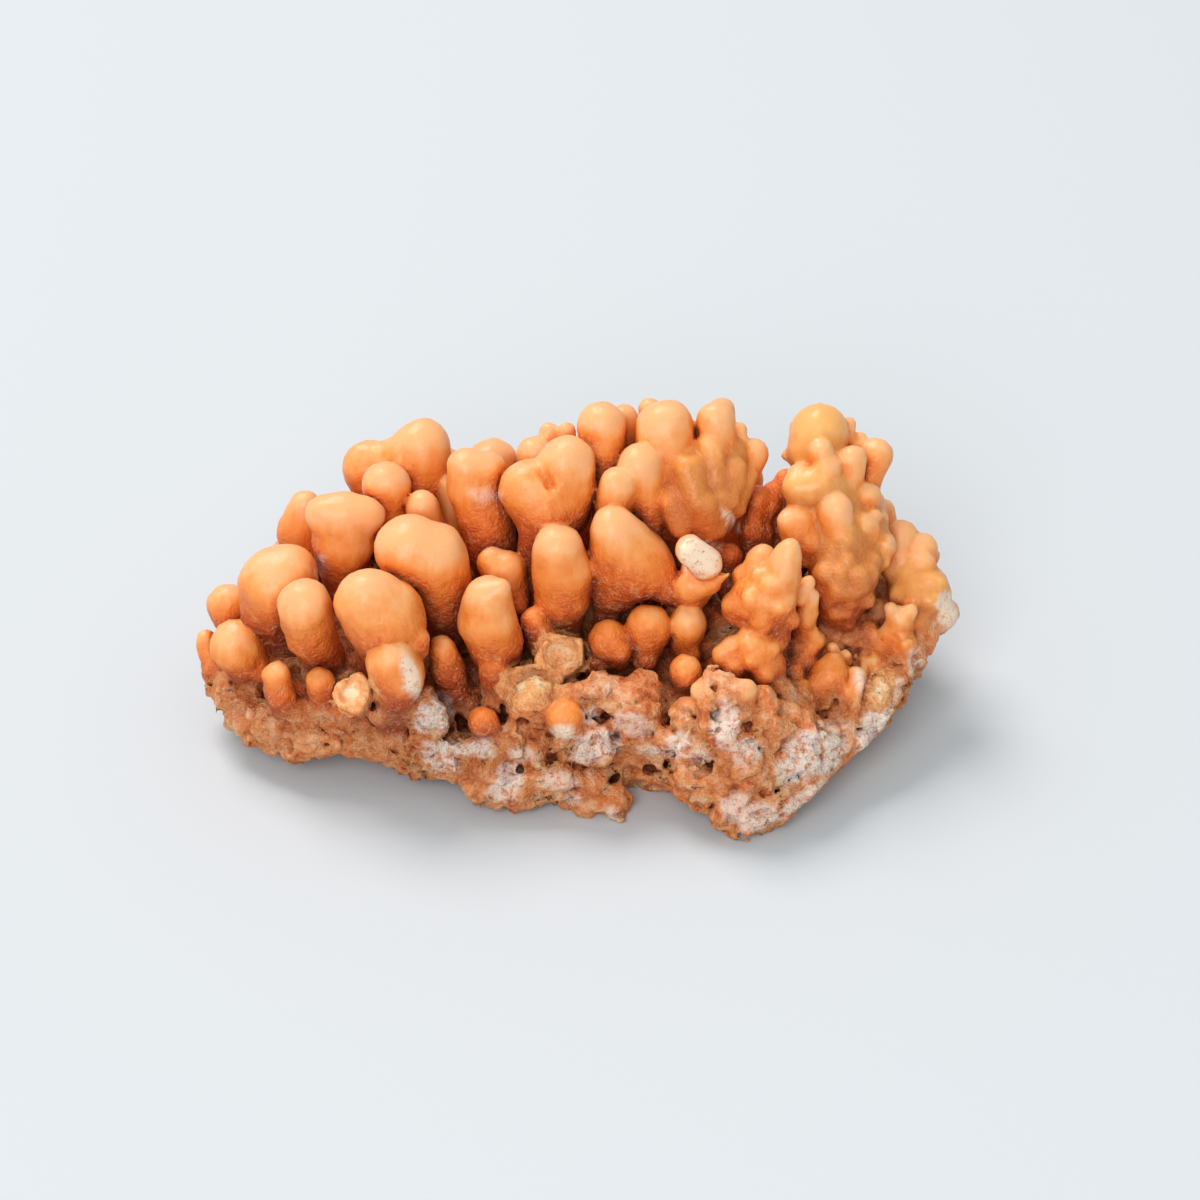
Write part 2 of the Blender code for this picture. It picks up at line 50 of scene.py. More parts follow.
# Fingers: name, blend in mm, chains of (across, down, depth mm, radius) from tip to root, across, down and radius in sight units.
# l.. are single fingers numbered from left to right, t.. the knobbed towers on the right, v.. the wall of the valley between them.
FINGERS = [
 ("l01", 1.2, [[(289,573,-1,29),(277,586,-2,37)], [(277,586,-2,37),(271,608,-1,31),(288,640,1,22),(300,662,3,16)]]),
 ("l02", 1.0, [[(228,605,5,21),(240,630,6,20),(262,655,7,16)]]),
 ("l03", 0.8, [[(237,646,-4,27),(252,664,-2,24),(275,685,0,18)]]),
 ("l04", 0.8, [[(206,638,4,9),(209,653,3,11.5),(216,671,2,12.5)]]),
 ("l06", 0.5, [[(305,606,-11,27.5),(311,634,-9,25.5),(324,658,-7,21),(338,680,-5,16)]]),
 ("l07", 0.5, [[(369,602,-14,34),(385,619,-14,41),(391,640,-12,35),(378,668,-9,22),(380,690,-6,16)]]),
 ("l08", 0.5, [[(391,663,-20,26),(397,675,-20,28.5),(397,705,-18,19),(398,735,-15,14)]]),
 ("l09", 0.5, [[(410,549,-4,35),(431,558,-4,36.5),(444,600,-3,30),(447,640,-1,22),(447,665,0,18)]]),
 ("l10", 2.0, [[(325,514,5,19),(346,513,5,20),(370,514,5,17)], [(346,520,5,24),(343,543,5,31),(337,578,6,14),(335,605,7,14)]]),
 ("l11", 0.5, [[(305,505,13,15),(298,532,13,21),(306,560,12,19),(315,595,12,14)]]),
 ("l12", 3.0, [[(369,466,19,22),(386,464,19,21),(404,457,19,23),(422,446,19,25)], [(422,450,19,25),(418,475,18,28),(410,510,17,24),(402,545,15,16),
      (398,580,13,14)], [(369,468,19,22),(376,500,18,22),(390,530,16,18)]]),
 ("l13", 0.5, [[(385,486,11,25),(391,512,11,20),(398,550,10,13),(400,590,9,12)]]),
 ("l14", 0.5, [[(422,508,8,17.5),(430,530,8,18),(436,570,7,14),(436,600,6,12)]]),
 ("l15", 1.0, [[(467,467,9,20),(476,487,9,28),(485,512,8,29),(489,540,7,27),(496,575,6,20),(498,605,5,16)], [(486,472,9,21),(478,487,9,27)]]),
 ("l16", 0.5, [[(504,451,18,22),(507,480,17,20),(508,520,15,16),(505,570,12,14)]]),
 ("l17", 2.2, [[(529,489,4,27),(546,478,5,18),(567,463,6,25)], [(529,489,4,27),(545,507,3,34),(545,530,2,26),(534,550,2,16),(534,590,2,13),
      (536,625,2,12)], [(567,463,6,25),(571,485,5,25),(563,512,4,27),(548,535,3,20)]]),
 ("l18", 0.5, [[(535,455,13,18),(535,490,12,16),(530,560,8,12)]]),
 ("l19", 0.5, [[(549,432,16,9.5),(552,455,15,9)]]),
 ("l20", 0.5, [[(567,431,15,9),(570,455,14,9)]]),
 ("l20b", 0.8, [[(560,462,14,22),(560,500,12,20),(560,560,8,16)]]),
 ("l21", 0.5, [[(601,427,12,25),(603,447,11,22),(607,480,9,18),(608,540,7,15),(606,600,5,14)]]),
 ("l22", 0.5, [[(624,418,17,14),(626,450,15,14)]]),
 ("l23", 0.5, [[(650,410,20,12),(652,440,18,14)]]),
 ("l24", 0.7, [[(665,428,12,29),(665,446,11,30),(668,480,9,26)]]),
 ("l25a", 0.7, [[(716,421,12,19.5),(719,445,11,17),(712,475,9,16)]]),
 ("l25b", 0.7, [[(720,412,17,15),(722,440,15,14)]]),
 ("l25c", 0.7, [[(739,430,14,8),(738,450,13,9)]]),
 ("l26", 0.8, [[(753,454,13,16.5),(744,475,11,15),(730,500,9,14)]]),
 ("t1", 2.0, [[(672,455,12,28),(690,478,9,36),(694,505,6,34),(702,528,5,24),(710,545,5,12)], [(725,460,11,24),(722,490,8,25),(716,512,6,21)],
      [(660,500,7,23),(670,525,6,19)], [(694,505,7,30),(690,560,8,22),(690,600,8,24)]]),
 ("l28", 0.5, [[(640,466,6,22),(645,493,5,19),(650,520,4,15),(652,560,4,14),(650,600,4,13)]]),
 ("l29", 0.5, [[(617,486,3,18.5),(614,505,3,18.5),(612,535,3,17),(612,580,3,14)]]),
 ("l30", 2.0, [[(614,529,-2,21),(624,542,-2,27),(636,563,-2,32),(662,584,-3,20),(676,590,-4,15)], [(614,529,-2,21),(612,560,-2,24),(609,592,-2,18),
      (607,612,-2,14),(607,640,0,13)], [(636,563,-2,32),(622,588,-2,24)]]),
 ("l31", 0.6, [[(701,573,-3.5,20),(694,590,-4,18),(690,604,-3,13)], [(690,604,-3,13),(690,640,0,13)], [(690,588,-6,15),(712,584,-6,9)],[(712,584,-6,8),(728,574,-7,2.0)]]),
 ("egg", 0.3, [[(690,550,-6,15.5),(706,563,-6,17.5)]]),
 ("l32", 0.5, [[(558,549,-4,25.5),(562,571,-4,30),(562,595,-4,28),(566,622,-3,17),(568,650,-1,13)]]),
 ("l33", 0.5, [[(487,599,-11,23.5),(488,621,-11,30),(494,642,-10,28),(498,668,-8,20),(500,690,-6,15)]]),
 ("l34", 0.8, [[(491,561,0,14),(498,580,0,15)], [(506,571,-1,20),(514,594,-1,17),(516,625,0,13)]]),
 ("l35", 0.8, [[(534,620,-7,13.5),(542,638,-7,17),(548,660,-7,14)]]),
 ("l36", 0.5, [[(443,649,-12,14),(448,667,-12,18),(455,688,-12,17),(458,710,-11,12)]]),
 ("l37", 0.6, [[(609,641,-9,21),(608,660,-7,14)]]),
 ("l38", 0.6, [[(648,625,-8,22),(646,646,-8,17.5),(644,665,-6,12)], [(660,634,-8.5,10)]]),
 ("l39", 0.6, [[(688,624,-7,19),(685,643,-6,15.5),(684,665,-5,12)]]),
 ("l40", 0.6, [[(686,671,-14,16),(686,690,-12,12)]]),
 ("l42", 0.8, [[(493,668,-14,14),(497,680,-14,17),(500,700,-13,14)]]),
 ("l43", 0.8, [[(565,718,-22,19),(565,725,-19,17)]]),
 ("l44", 0.8, [[(484,722,-21,16),(486,740,-19,13)]]),
 ("l45", 0.8, [[(277,676,-13,14.5),(281,695,-13,15),(290,712,-11,14)]]),
 ("l46", 0.8, [[(320,682,-14,15),(324,698,-13,13)]]),
 ("l47", 0.8, [[(354,694,-18,16),(356,705,-16,15)]]),
 ("l48", 1.5, [[(787,558,-7,15),(782,575,-7,19),(768,600,-8,28),(768,625,-8,24),(765,660,-6,20),(765,690,-4,18)], [(762,559,-2,15),(762,585,-4,22),
      (764,600,-6,26)], [(742,614,-8,16),(750,600,-7,20)]]),
 ("l48b", 0.8, [[(808,583,-5,8),(800,592,-5,10)], [(812,595,-5,7.5),(806,612,-5,12),(800,635,-4,12)]]),
 ("l49", 1.2, [[(733,648,-12,14),(744,660,-12,17),(742,680,-11,15)], [(757,652,-13,20),(766,667,-13,20),(768,690,-12,16)]]),
 ("l50", 0.8, [[(819,433,16,30),(812,450,14,25)]]),
 ("l50b", 0.8, [[(787,455,15,7),(800,462,14,9)]]),
 ("l50c", 0.8, [[(849,424,18,7),(845,440,17,9)]]),
 ("l50d", 0.8, [[(859,440,18,8.5),(855,460,15,9)]]),
 ("l51", 0.7, [[(876,455,15,17.5),(871,476,13,12),(866,490,12,12)]]),
 ("l53", 0.7, [[(853,459,11,14),(852,476,10,12.5)]]),
 ("l54", 0.7, [[(822,452,10,12),(822,462,10,12)]]),
 ("l55", 0.7, [[(828,468,8.5,14),(828,480,9,13)], [(812,462,12,14),(830,466,12,20)]]),
 ("l56", 0.7, [[(799,473,9,11),(802,484,9,12)]]),
 ("l57", 1.0, [[(800,488,7,18),(818,486,7,19),(834,486,8,14)]]),
 ("l58", 0.7, [[(837,509,4,17),(838,525,3,14)]]),
 ("l59", 0.7, [[(795,522,4,17),(799,541,3,17)]]),
 ("l60", 0.7, [[(865,526,5,14),(862,540,4,13)]]),
 ("l61", 0.7, [[(868,495,9,13.5),(862,505,9,12)]]),
 ("l62", 0.7, [[(878,518,8,9),(872,525,8,9)]]),
 ("l63", 0.7, [[(883,545,5,14),(874,552,5,13)]]),
 ("t2", 1.6, [[(824,470,13,28),(831,506,9,34),(839,543,5,36),(843,572,2,35),(838,600,1,28),(834,628,1,15),(832,660,2,14)],
      [(840,560,12,30),(845,620,10,28)], [(806,500,9,20),(812,540,5,20)], [(862,500,11,18),(872,540,6,20)]]),
 ("l65", 0.8, [[(902,534,11,15),(898,555,9,16)]]),
 ("l66", 0.8, [[(923,547,10,14.5),(917,565,8,17)]]),
 ("t3", 1.5, [[(905,570,8,20),(919,590,6,28),(934,614,5,22),(948,612,6,11)], [(919,590,6,28),(905,630,3,24)]]),
 ("l69", 0.6, [[(900,619,-2,12),(898,630,-1,13)], [(910,611,-2,7),(903,622,-1,9)], [(890,609,-2,7),(896,622,-1,9)], [(898,644,-3,10),
      (896,652,-1,11)]]),
 ("l70", 0.8, [[(814,640,-5,12),(806,657,-6,12.5),(803,672,-7,9)]]),
 ("l71", 0.6, [[(833,648,-5,7),(830,658,-5,8)], [(846,655,-6,6.5),(840,664,-6,8)]]),
 ("l72", 0.8, [[(834,661,-8,10),(829,677,-9,21)]]),
 ("l73", 0.8, [[(856,673,-9,8),(850,700,-12,8),(852,726,-14,8)]]),
 ("l12b", 0.5, [[(449,486,15,9),(451,510,14,12),(450,560,11,14),(450,600,9,12)]]),
 # the wall of the valley between the towers
 ("v1", 1.0, [[(695,433,14,9),(696,448,13,13),(697,470,11,14)], [(772,490,14,10),(768,505,12,14)], [(757,500,12,15),(755,530,10,18),(760,570,9,20)], [(785,480,15,12),(785,520,13,18),
      (790,560,11,20)], [(728,557,3,14),(728,580,4,14)]]),
]

# front of the matrix, seen along the same sight lines: (blend, chain)

# the front of the crust: (blend mm, chain), along the lower rim from left to right, then the shoulder and the raised block
CRUST_FRONT = [
 # lower rim, left to right
 (1.5,[(216,672,2,13),(224,686,-1,15),(240,708,-6,20)]), (1.5,[(240,708,-6,20),(264,725,-10,24),(300,736,-13,25),(345,730,-15,22),(385,736,-16,23),
      (420,752,-17,26),(450,752,-18,23)]),
 (1.2,[(450,752,-18,21),(486,773,-20,28)]), (1.2,[(490,772,-21,33),(512,778,-21,32)]), (1.2,[(525,772,-21,31),
      (560,772,-21,30)]), (1.0,[(566,770,-20,30),(588,788,-21,28)]), (0.8,[(590,786,-21,26),(611,803,-23,20),(616,812,-23,13)]),
 (1.0,[(600,770,-17,26),(640,752,-15,28),(668,760,-17,26)]), (1.2,[(668,760,-20,22),(700,776,-25,27),(734,803,-27,27)]), (1.0,[(736,802,-27,28),
      (742,821,-28,20),(724,830,-28,9)]),
 (1.2,[(745,812,-28,26),(772,800,-27,24),(800,780,-24,25),(835,750,-18,22),(862,718,-13,22),(886,686,-8,19)]), (1.2,[(886,686,-8,18),(906,656,-2,17),
      (926,630,2,14),(946,610,5,9)]),
 # shoulder above the rim
 (1.5,[(300,718,-12,22),(345,712,-13,22),(385,720,-14,20)]),
 (1.0,[(425,716,-20,19),(430,735,-19,19)]), (1.0,[(432,742,-20,9),(455,748,-20,9),(485,752,-22,12)]),
 (1.2,[(500,742,-20,24),(540,745,-20,24),(580,742,-21,24)]), (1.0,[(592,745,-23,22),(575,738,-22,22)]),
 (1.0,[(637,708,-17,30),(625,725,-18,26)]), (1.0,[(590,705,-18,20),(606,690,-16,16)]), (1.0,[(545,718,-19,22),(520,712,-17,20)]),
 (0.8,[(664,738,-22,11),(690,740,-23,12)]), (0.8,[(640,742,-20,16),(668,740,-20,13)]),
 # the raised block and the right shoulder
 (1.2,[(722,703,-22,29),(728,728,-24,31),(742,760,-26,31)]), (1.2,[(728,710,-22,26),(762,726,-22,28),(800,738,-20,28),
      (830,742,-17,20)]), (1.2,[(742,765,-26,30),(790,760,-23,30)]),
 (1.0,[(872,696,-7,14),(880,705,-8,16)]), (1.0,[(690,720,-21,20),(700,745,-23,22)]),
]

# hollows in the crust, in the same form
HOLLOWS = [
 [(630,772,-26,15),(655,764,-25,10)], [(606,716,-22.5,6),(608,718,-18,6)], [(671,727,-23,5),(671,730,-19,5)], [(468,722,-20,11),(466,715,-12,9)],
 [(518,771,-27,6),(518,770,-22,5)], [(777,790,-31,6),(776,790,-24,5)], [(752,792,-31.5,8),(800,778,-29,6)], [(445,768,-25,7),(470,770,-25,6)],
      [(690,782,-31,5),(690,780,-26,5)],
]
# body of the matrix, world mm (x, y, z, r) chains

# the body of the crust: chains of (x, y, z, radius) in mm
CRUST_BODY = [
 [(-52,2,13,6),(-30,4,10,10),(0,4,8,13),(30,4,9,13),(50,11,15,8)],
 [(-44,16,12,8),(0,18,9,12),(38,18,11,10)],
 [(36,-10,7,8),(44,-6,9,8),(50,2,12,7)], [(30,0,10,12),(44,6,12,11)],
 [(-45,-5,12,6),(-25,-7,10,8),(0,-9,7,9),(20,-13,8,10),(30,-12,9,10)],
 [(-44,20,12,7),(-20,25,9,9),(8,26,9,9),(34,24,11,9),(50,17,14,7)],
]

# back fingers: tip centre x, y, z, radius, lean in x and y, length, all in mm
BACK_FINGERS = [
 (-50,13,24,4.4,-5,3,12),(-46,19,25,4.0,-4,4,12),(-40,23,25.5,4.6,-2,4,13),(-32,25,34,4.2,-1,4,15),(-24,24,36.5,4.6,0,3,18),(-15,26,36,4.8,1,4,18),
      (-6,24,40,4.2,0,3,20),
 (3,27,37.5,5.0,0,4,18),(11,24.5,42,4.2,0,3,20),(19,27,38,4.6,1,4,18),(26.5,24,34,3.8,1,3,16),(34,27,25.5,4.2,1,4,12),(41,25,37,4.6,2,3,17),
      (48,21,30,4.0,3,3,13),(55,17,24.5,3.6,4,2,10),
 (-42,28,22,3.8,-2,5,9),(-30,30,26,4.6,-1,6,12),(-19,31.5,25,4.0,0,6,12),(-9,31,30,4.8,0,6,15),(2,33,26,4.2,0,6,12),(12,31.5,31,4.6,0,6,15),
      (23,33,25,4.0,1,6,11),(32,31.5,23,4.6,1,6,11),(42,30,26,4.0,2,5,12),(50,26,20,3.4,3,4,9),
 (-36,31,16,3.0,-1,4,6),(-25,33,16,3.2,0,4,6),(-12,34,17,3.2,0,4,6),(-3,34.5,18,2.8,0,4,6),(8,35,17,3.2,0,4,6),(18,34.5,16,3.0,0,4,6),
      (28,34.5,15,2.8,0,4,6),(38,32.5,16,3.0,1,4,6),
 (-56,6,18,3.2,-4,1,7),(-55,11,16,2.8,-4,2,6),
]


# round knobs grown on the towers at the right: across, down, radius
KNOBS = [
 (868,572,11), (840,572,11), (822,575,12), (852,590,12), (832,596,10), (866,600,10), (846,612,8), (880,560,11), (884,585,12), (878,610,12),
 (786,520,9), (912,600,11), (930,600,11), (900,595,11), (925,565,11), (938,585,10), (890,632,11), (918,622,12), (905,645,12),
 (880,645,12), (868,632,12), (872,660,10), (770,585,10), (752,598,11), (780,606,12), (762,622,13), (748,636,10), (790,620,10), (776,640,12),
 (800,600,7), (805,622,8), (795,645,10), (812,632,7), (750,643,10), (772,650,9), (735,668,11), (764,673,12), (752,662,9), (744,690,10),
 (778,585,9), (760,575,8), (745,610,8), (788,600,8), (848,560,9), (835,585,8), (862,588,8), (850,602,8), (820,590,9), (812,542,13), (806,560,10), (872,560,11), (858,575,12), (826,572,12),
 (875,515,8), (840,590,12), (884,545,10), (846,540,10), (890,570,9), (836,612,9), (848,625,8), (826,604,8),
]
# longer lobes hanging on the first tower: across, down, radius at both ends
LOBES = [
 (711,447,15,716,480,13), (735,468,13,728,500,11), (690,470,15,696,502,13), (747,476,11,737,508,9), (672,502,15,681,527,13), (705,505,14,709,532,11),
 (722,498,10,719,530,8), (757,500,10,752,530,10), (770,520,10,766,548,11), (790,548,10,786,575,9), (742,540,9,744,570,9),
]
# smaller round growths between the roots of the fingers
ROOT_KNOBS = [
 (262,672,11), (300,690,11), (340,712,10), (365,722,9), (382,716,10), (430,690,11), (418,640,12), (470,700,11), (476,672,11),
 (535,668,11), (515,700,12), (541,706,13), (575,690,12), (586,650,13), (598,664,12), (628,668,13),
 (645,662,11), (662,668,12), (620,652,11), (668,650,10), (704,648,11), (700,690,10), (715,668,12), (722,655,11), (735,668,9), (745,690,12),
 (775,690,12), (792,672,13), (800,690,12), (816,690,12), (845,690,10), (870,664,10), (720,622,12), (733,604,12), (728,585,12), (712,612,11),
 (742,575,10), (500,590,11), (520,606,10), 
 (690,655,11), 
 
]


# filling between the roots of the fingers: across, down, radius
FILL = [
 (500,700,20), (535,702,22), (575,696,20), (462,732,13), (520,724,18), (600,690,16), (620,675,12), (645,684,14), (665,688,12),
 (715,680,12), (735,690,10), (425,700,12), (380,712,12), (340,722,12), (300,712,10), (250,690,12), (225,682,11), (480,690,14), (550,680,14),
 (780,690,12), (800,700,14), (830,700,14), (760,700,12),
]
# knobs that are fused to the second tower
FUSED = ("l50b", "l53", "l54", "l55", "l56", "l57", "l58", "l59", "l60", "l61", "l62", "l63", "l51", "l65", "l66", "t2", "t3", "v1", "l12b", "l04", "l26",
         "l25c", "t1")
# named fingers are made deeper in colour: partly their own colour, partly painted shade on those set low among taller
# fingers; a negative value makes one paler
DEEPER_TONE_AND_SHADE = dict(l37=0.50, l38=0.36, l39=0.10, l40=0.50, l42=0.60, l35=0.60, l36=0.45, l44=0.50, l45=0.30, l46=0.30, l43=0.30, l49=0.22, l34=0.15,
              v1=0.04, t2=0.22, t3=0.20, l07=0.12, l18=0.16, l24=0.05, l06=0.04, l01=0.04, l50=0.05, l25a=0.03, l58=0.08, l59=0.10, l60=0.10, l53=0.06, l55=0.06, l57=0.10, l63=0.12, l61=0.10, l66=0.08, l65=0.10, l28=0.04,
              l29=0.04, l26=0.08, l51=0.06, l47=0.30, l32=0.06, l33=0.04, l08=0.20, l31=0.18, l14=0.10, l13=0.04, l02=0.12, l04=0.16, l72=0.20, t1=0.40, l03=0.06,
              l70=0.20, l69=0.0, l48=-0.07, l30=0.13)


# white, powdery or broken places, seen along the sight line: across, down, depth mm, half sizes, turn in degrees, strength
WHITE = [
 (411,676,-22,9,24,-16,1.0), (425,719,-20,12,16,0,1.0), (564,732,-23,12,8,0,1.0), (354,695,-18,14,12,0,0.75), (699,557,-4,23,20,30,1.0),
 (731,521,6,4,16,-35,0.9), (812,754,-24,44,25,-28,1.0), (724,725,-27,16,24,10,0.9), (745,752,-30,16,15,0,0.75), (737,808,-33,16,17,0,0.75),
 (758,818,-32,22,12,-35,0.8), (797,802,-30,38,6,-37,0.8), (874,726,-14,13,36,22,1.0), (884,690,-10,13,14,0,0.8), (441,712,-20,11,20,0,0.9), (452,748,-20,28,7,8,0.9), (505,790,-25,18,13,0,0.8), (915,661,-3,8,15,10,0.7), (948,612,5,11,22,-12,0.95),
 (860,680,-10,7,12,0,0.7), (483,749,-22,11,10,0,0.9), (508,783,-25,15,22,0,0.85), (596,746,-25,28,17,-15,0.85), (632,724,-23,22,14,20,0.6),
 (677,742,-22,13,11,0,0.85), (560,781,-26,20,11,10,0.6), (612,814,-24,8,8,0,0.7), (573,799,-26,12,7,10,0.6), (455,746,-20,26,5,8,0.8),
 (665,752,-22,30,5,8,0.7), (485,494,9,16,6,0,0.5), (320,567,8,7,13,0,0.6), (440,760,-24,24,10,20,0.75), (520,755,-24,14,8,0,0.6),
 (700,756,-26,14,8,0,0.6), (612,690,-19,9,5,0,0.5), (590,716,-22,9,9,0,0.7), (897,690,-9,5,14,20,0.7),
]
SMOOTH_WHITE = [(699, 557), (731, 521), (411, 676), (564, 732), (948, 612)]   # pale without specks
# open pores and slots of the crust: across, down, depth mm, radius, depth into the crust mm
SLOTS = [
 (606,716,-22,6,4), (671,729,-23,5,4), (468,722,-18,10,6), (518,770,-27,6,4), (777,790,-31,7,6), (760,795,-32,6,3), (445,768,-25,7,4),
 (650,768,-24,9,5), (630,772,-25,10,5), (615,778,-25,8,5), (664,766,-24,7,4), (790,778,-29,8,3),
]
# clusters of broken crystals: across, down, depth mm, radius, count
CRYSTALS = [(592,668,-13,11,4), (300,706,-16,9,3), (880,684,-8,12,5), (908,640,-3,10,5), (590,690,-19,10,4), (500,672,-16,9,4),
            (870,700,-8,9,4), (546,640,-10,8,3)]
# growths broken across: centre across and down, half width, half height, turn in degrees
BROKEN = [(562,655,-11,26,21,15), (533,684,-16,31,23,-12), (353,693,-20,20,19,0), (880,690,-10,13,20,10)]
# thin raised seam on the right
SEAM = [(864,668,4.4), (859,686,4.8), (855,705,5.0), (852,724,4.6), (850,745,3.6)]


def sight(u, v, y):
    c, s = cos(SIGHT_ELEVATION), sin(SIGHT_ELEVATION)
    eye = (AIM[0], AIM[1] - SIGHT_DISTANCE * c, AIM[2] + SIGHT_DISTANCE * s)
    focal = SIGHT_DISTANCE * SIGHT_SCALE
    a, b = (u - 600.0) / focal, (600.0 - v) / focal
    ray = (a, c + b * s, -s + b * c)
    t = (y - eye[1]) / ray[1]
    return (eye[0] + t * ray[0], y, eye[2] + t * ray[2]), t / focal


def seen_at(p):
    """Sight position (across, down) of points in mm."""
    c, s = cos(SIGHT_ELEVATION), sin(SIGHT_ELEVATION)
    eye = np.array([AIM[0], AIM[1] - SIGHT_DISTANCE * c, AIM[2] + SIGHT_DISTANCE * s])
    q = p - eye
    deep = q[:, 1] * c - q[:, 2] * s
    up = q[:, 1] * s + q[:, 2] * c
    focal = SIGHT_DISTANCE * SIGHT_SCALE
    return 600.0 + focal * q[:, 0] / deep, 600.0 - focal * up / deep


def from_sight(chain):
    balls = []
    for u, v, y, r in chain:
        p, unit = sight(u, v, y)
        balls.append((p[0], p[1], p[2], r * unit))
    return balls


def back_finger(x, y, z, r, lean_x, lean_y, length):
    return [(x - lean_x * t, y - lean_y * t, z - length * t, r * k)
            for t, k in ((0.0, 0.93), (0.22, 1.05), (0.6, 0.86), (1.0, 0.66))]


# ---------------------------------------------------------------- the distance field
class Field:
    def __init__(self, low, high, cell, far=5.0):
        self.low = np.array(low, np.float32)
        self.cell = cell
        self.n = np.ceil((np.array(high) - self.low) / cell).astype(int) + 1
        self.axes = [self.low[i] + cell * np.arange(self.n[i], dtype=np.float32) for i in range(3)]
        self.d = np.full(self.n, far, np.float32)

    def window(self, low, high):
        a = np.clip(np.floor((np.array(low) - self.low) / self.cell).astype(int), 0, self.n - 1)
        b = np.clip(np.ceil((np.array(high) - self.low) / self.cell).astype(int) + 1, 1, self.n)
        cut = tuple(slice(a[i], b[i]) for i in range(3))
        return cut, (self.axes[0][cut[0]][:, None, None], self.axes[1][cut[1]][None, :, None],
                     self.axes[2][cut[2]][None, None, :])

    def blend(self, low, high, distance, k):
        """Joins a shape, given by its distance function, with a soft crease of width k."""
        cut, p = self.window(low, high)
        if self.d[cut].size:
            self.d[cut] = soft_min(self.d[cut], distance(p).astype(np.float32), k)

    def carve(self, low, high, distance, k):
        cut, p = self.window(low, high)
        if self.d[cut].size:
            self.d[cut] = -soft_min(-self.d[cut], distance(p).astype(np.float32), k)

    def sample(self, p, grid=None, step=None):
        return trilinear(self.d if grid is None else grid, self.low, step or self.cell, p)


def trilinear(grid, low, cell, p):
    q = (p - low) / cell
    n = np.array(grid.shape)
    q = np.clip(q, 0, n - 1.001)
    i = np.floor(q).astype(int)
    f = (q - i).astype(np.float32)
    out = 0
    for dx in (0, 1):
        wx = f[:, 0] if dx else 1 - f[:, 0]
        for dy in (0, 1):
            wy = f[:, 1] if dy else 1 - f[:, 1]
            for dz in (0, 1):
                wz = f[:, 2] if dz else 1 - f[:, 2]
                out = out + grid[i[:, 0] + dx, i[:, 1] + dy, i[:, 2] + dz] * (wx * wy * wz)
    return out


def soft_min(a, b, k):
    h = np.maximum(k - np.abs(a - b), 0) / k
    return np.minimum(a, b) - h * h * k * 0.25


def stem(p, a, b):
    """Distance to a tapered stem with round ends; a and b are (x, y, z, radius)."""
    ax = np.array(a[:3], np.float32)
    ba = np.array(b[:3], np.float32) - ax
    l2 = float(ba @ ba)
    rr = a[3] - b[3]
    if l2 < 1e-6 or rr * rr >= l2 * 0.999:
        c = a if a[3] >= b[3] else b
        return np.sqrt((p[0] - c[0]) ** 2 + (p[1] - c[1]) ** 2 + (p[2] - c[2]) ** 2) - c[3]
    a2, il2 = l2 - rr * rr, 1.0 / l2
    q = [p[i] - ax[i] for i in range(3)]
    y = q[0] * ba[0] + q[1] * ba[1] + q[2] * ba[2]
    x2 = l2 * l2 * (q[0] ** 2 + q[1] ** 2 + q[2] ** 2) - l2 * y * y
    x2 = np.maximum(x2, 0)
    z = y - l2
    k = np.sign(rr) * rr * rr * x2
    d = (np.sqrt(x2 * a2 * il2) + y * rr) * il2 - a[3]
    d = np.where(np.sign(y) * a2 * y * y * l2 < k, np.sqrt(x2 + y * y * l2) * il2 - a[3], d)
    return np.where(np.sign(z) * a2 * z * z * l2 > k, np.sqrt(x2 + z * z * l2) * il2 - b[3], d)


def chain_distance(chain, k):
    def distance(p):
        if len(chain) == 1:
            c = chain[0]
            return np.sqrt((p[0] - c[0]) ** 2 + (p[1] - c[1]) ** 2 + (p[2] - c[2]) ** 2) - c[3]
        d = None
        for a, b in zip(chain[:-1], chain[1:]):
            e = stem(p, a, b)
            d = e if d is None else soft_min(d, e, k)
        return d
    return distance


def first_hit(grid, low, cell, u, v):
    """Distance along the sight line at (u, v) to the first solid point, and the unit direction."""
    c, s = cos(SIGHT_ELEVATION), sin(SIGHT_ELEVATION)
    eye = np.array([AIM[0], AIM[1] - SIGHT_DISTANCE * c, AIM[2] + SIGHT_DISTANCE * s])
    focal = SIGHT_DISTANCE * SIGHT_SCALE
    a, b = (np.asarray(u, float) - 600.0) / focal, (600.0 - np.asarray(v, float)) / focal
    ray = np.stack([a, c + b * s, -s + b * c], -1)
    ray /= np.linalg.norm(ray, axis=-1, keepdims=True)
    t = np.full(len(ray), SIGHT_DISTANCE - 70.0)
    busy = np.arange(len(ray))
    hit = np.zeros(len(ray), bool)
    for _ in range(170):
        q = eye + ray[busy] * t[busy][:, None]
        out = ((q < low) | (q > low + cell * (np.array(grid.shape) - 1))).any(1)
        d = np.where(out, 3.0, trilinear(grid, low, cell, q))
        now = d < 0.04
        hit[busy[now]] = True
        t[busy[~now]] += np.maximum(d[~now] * 0.75, 0.08)
        busy = busy[~now & (t[busy] < SIGHT_DISTANCE + 75.0)]
        if not len(busy):
            break
    return t, hit, eye, ray


def set_on(grid, low, cell, spots, depth):
    """Balls that sit on the surface seen at each spot; depth is the share of the radius that is buried."""
    u, v, r = (np.array([s[i] for s in spots], float) for i in range(3))
    t, hit, eye, ray = first_hit(grid, low, cell, u, v)
    mm = r * t / (SIGHT_DISTANCE * SIGHT_SCALE)
    q = eye + ray * (t + mm * depth)[:, None]
    return [(x, y, z, m) for (x, y, z), m, h in zip(q, mm, hit) if h]


def limits(chains, margin):
    q = np.array([b for c in chains for b in c], float)
    return (q[:, :3] - q[:, 3:] - margin).min(0), (q[:, :3] + q[:, 3:] + margin).max(0)


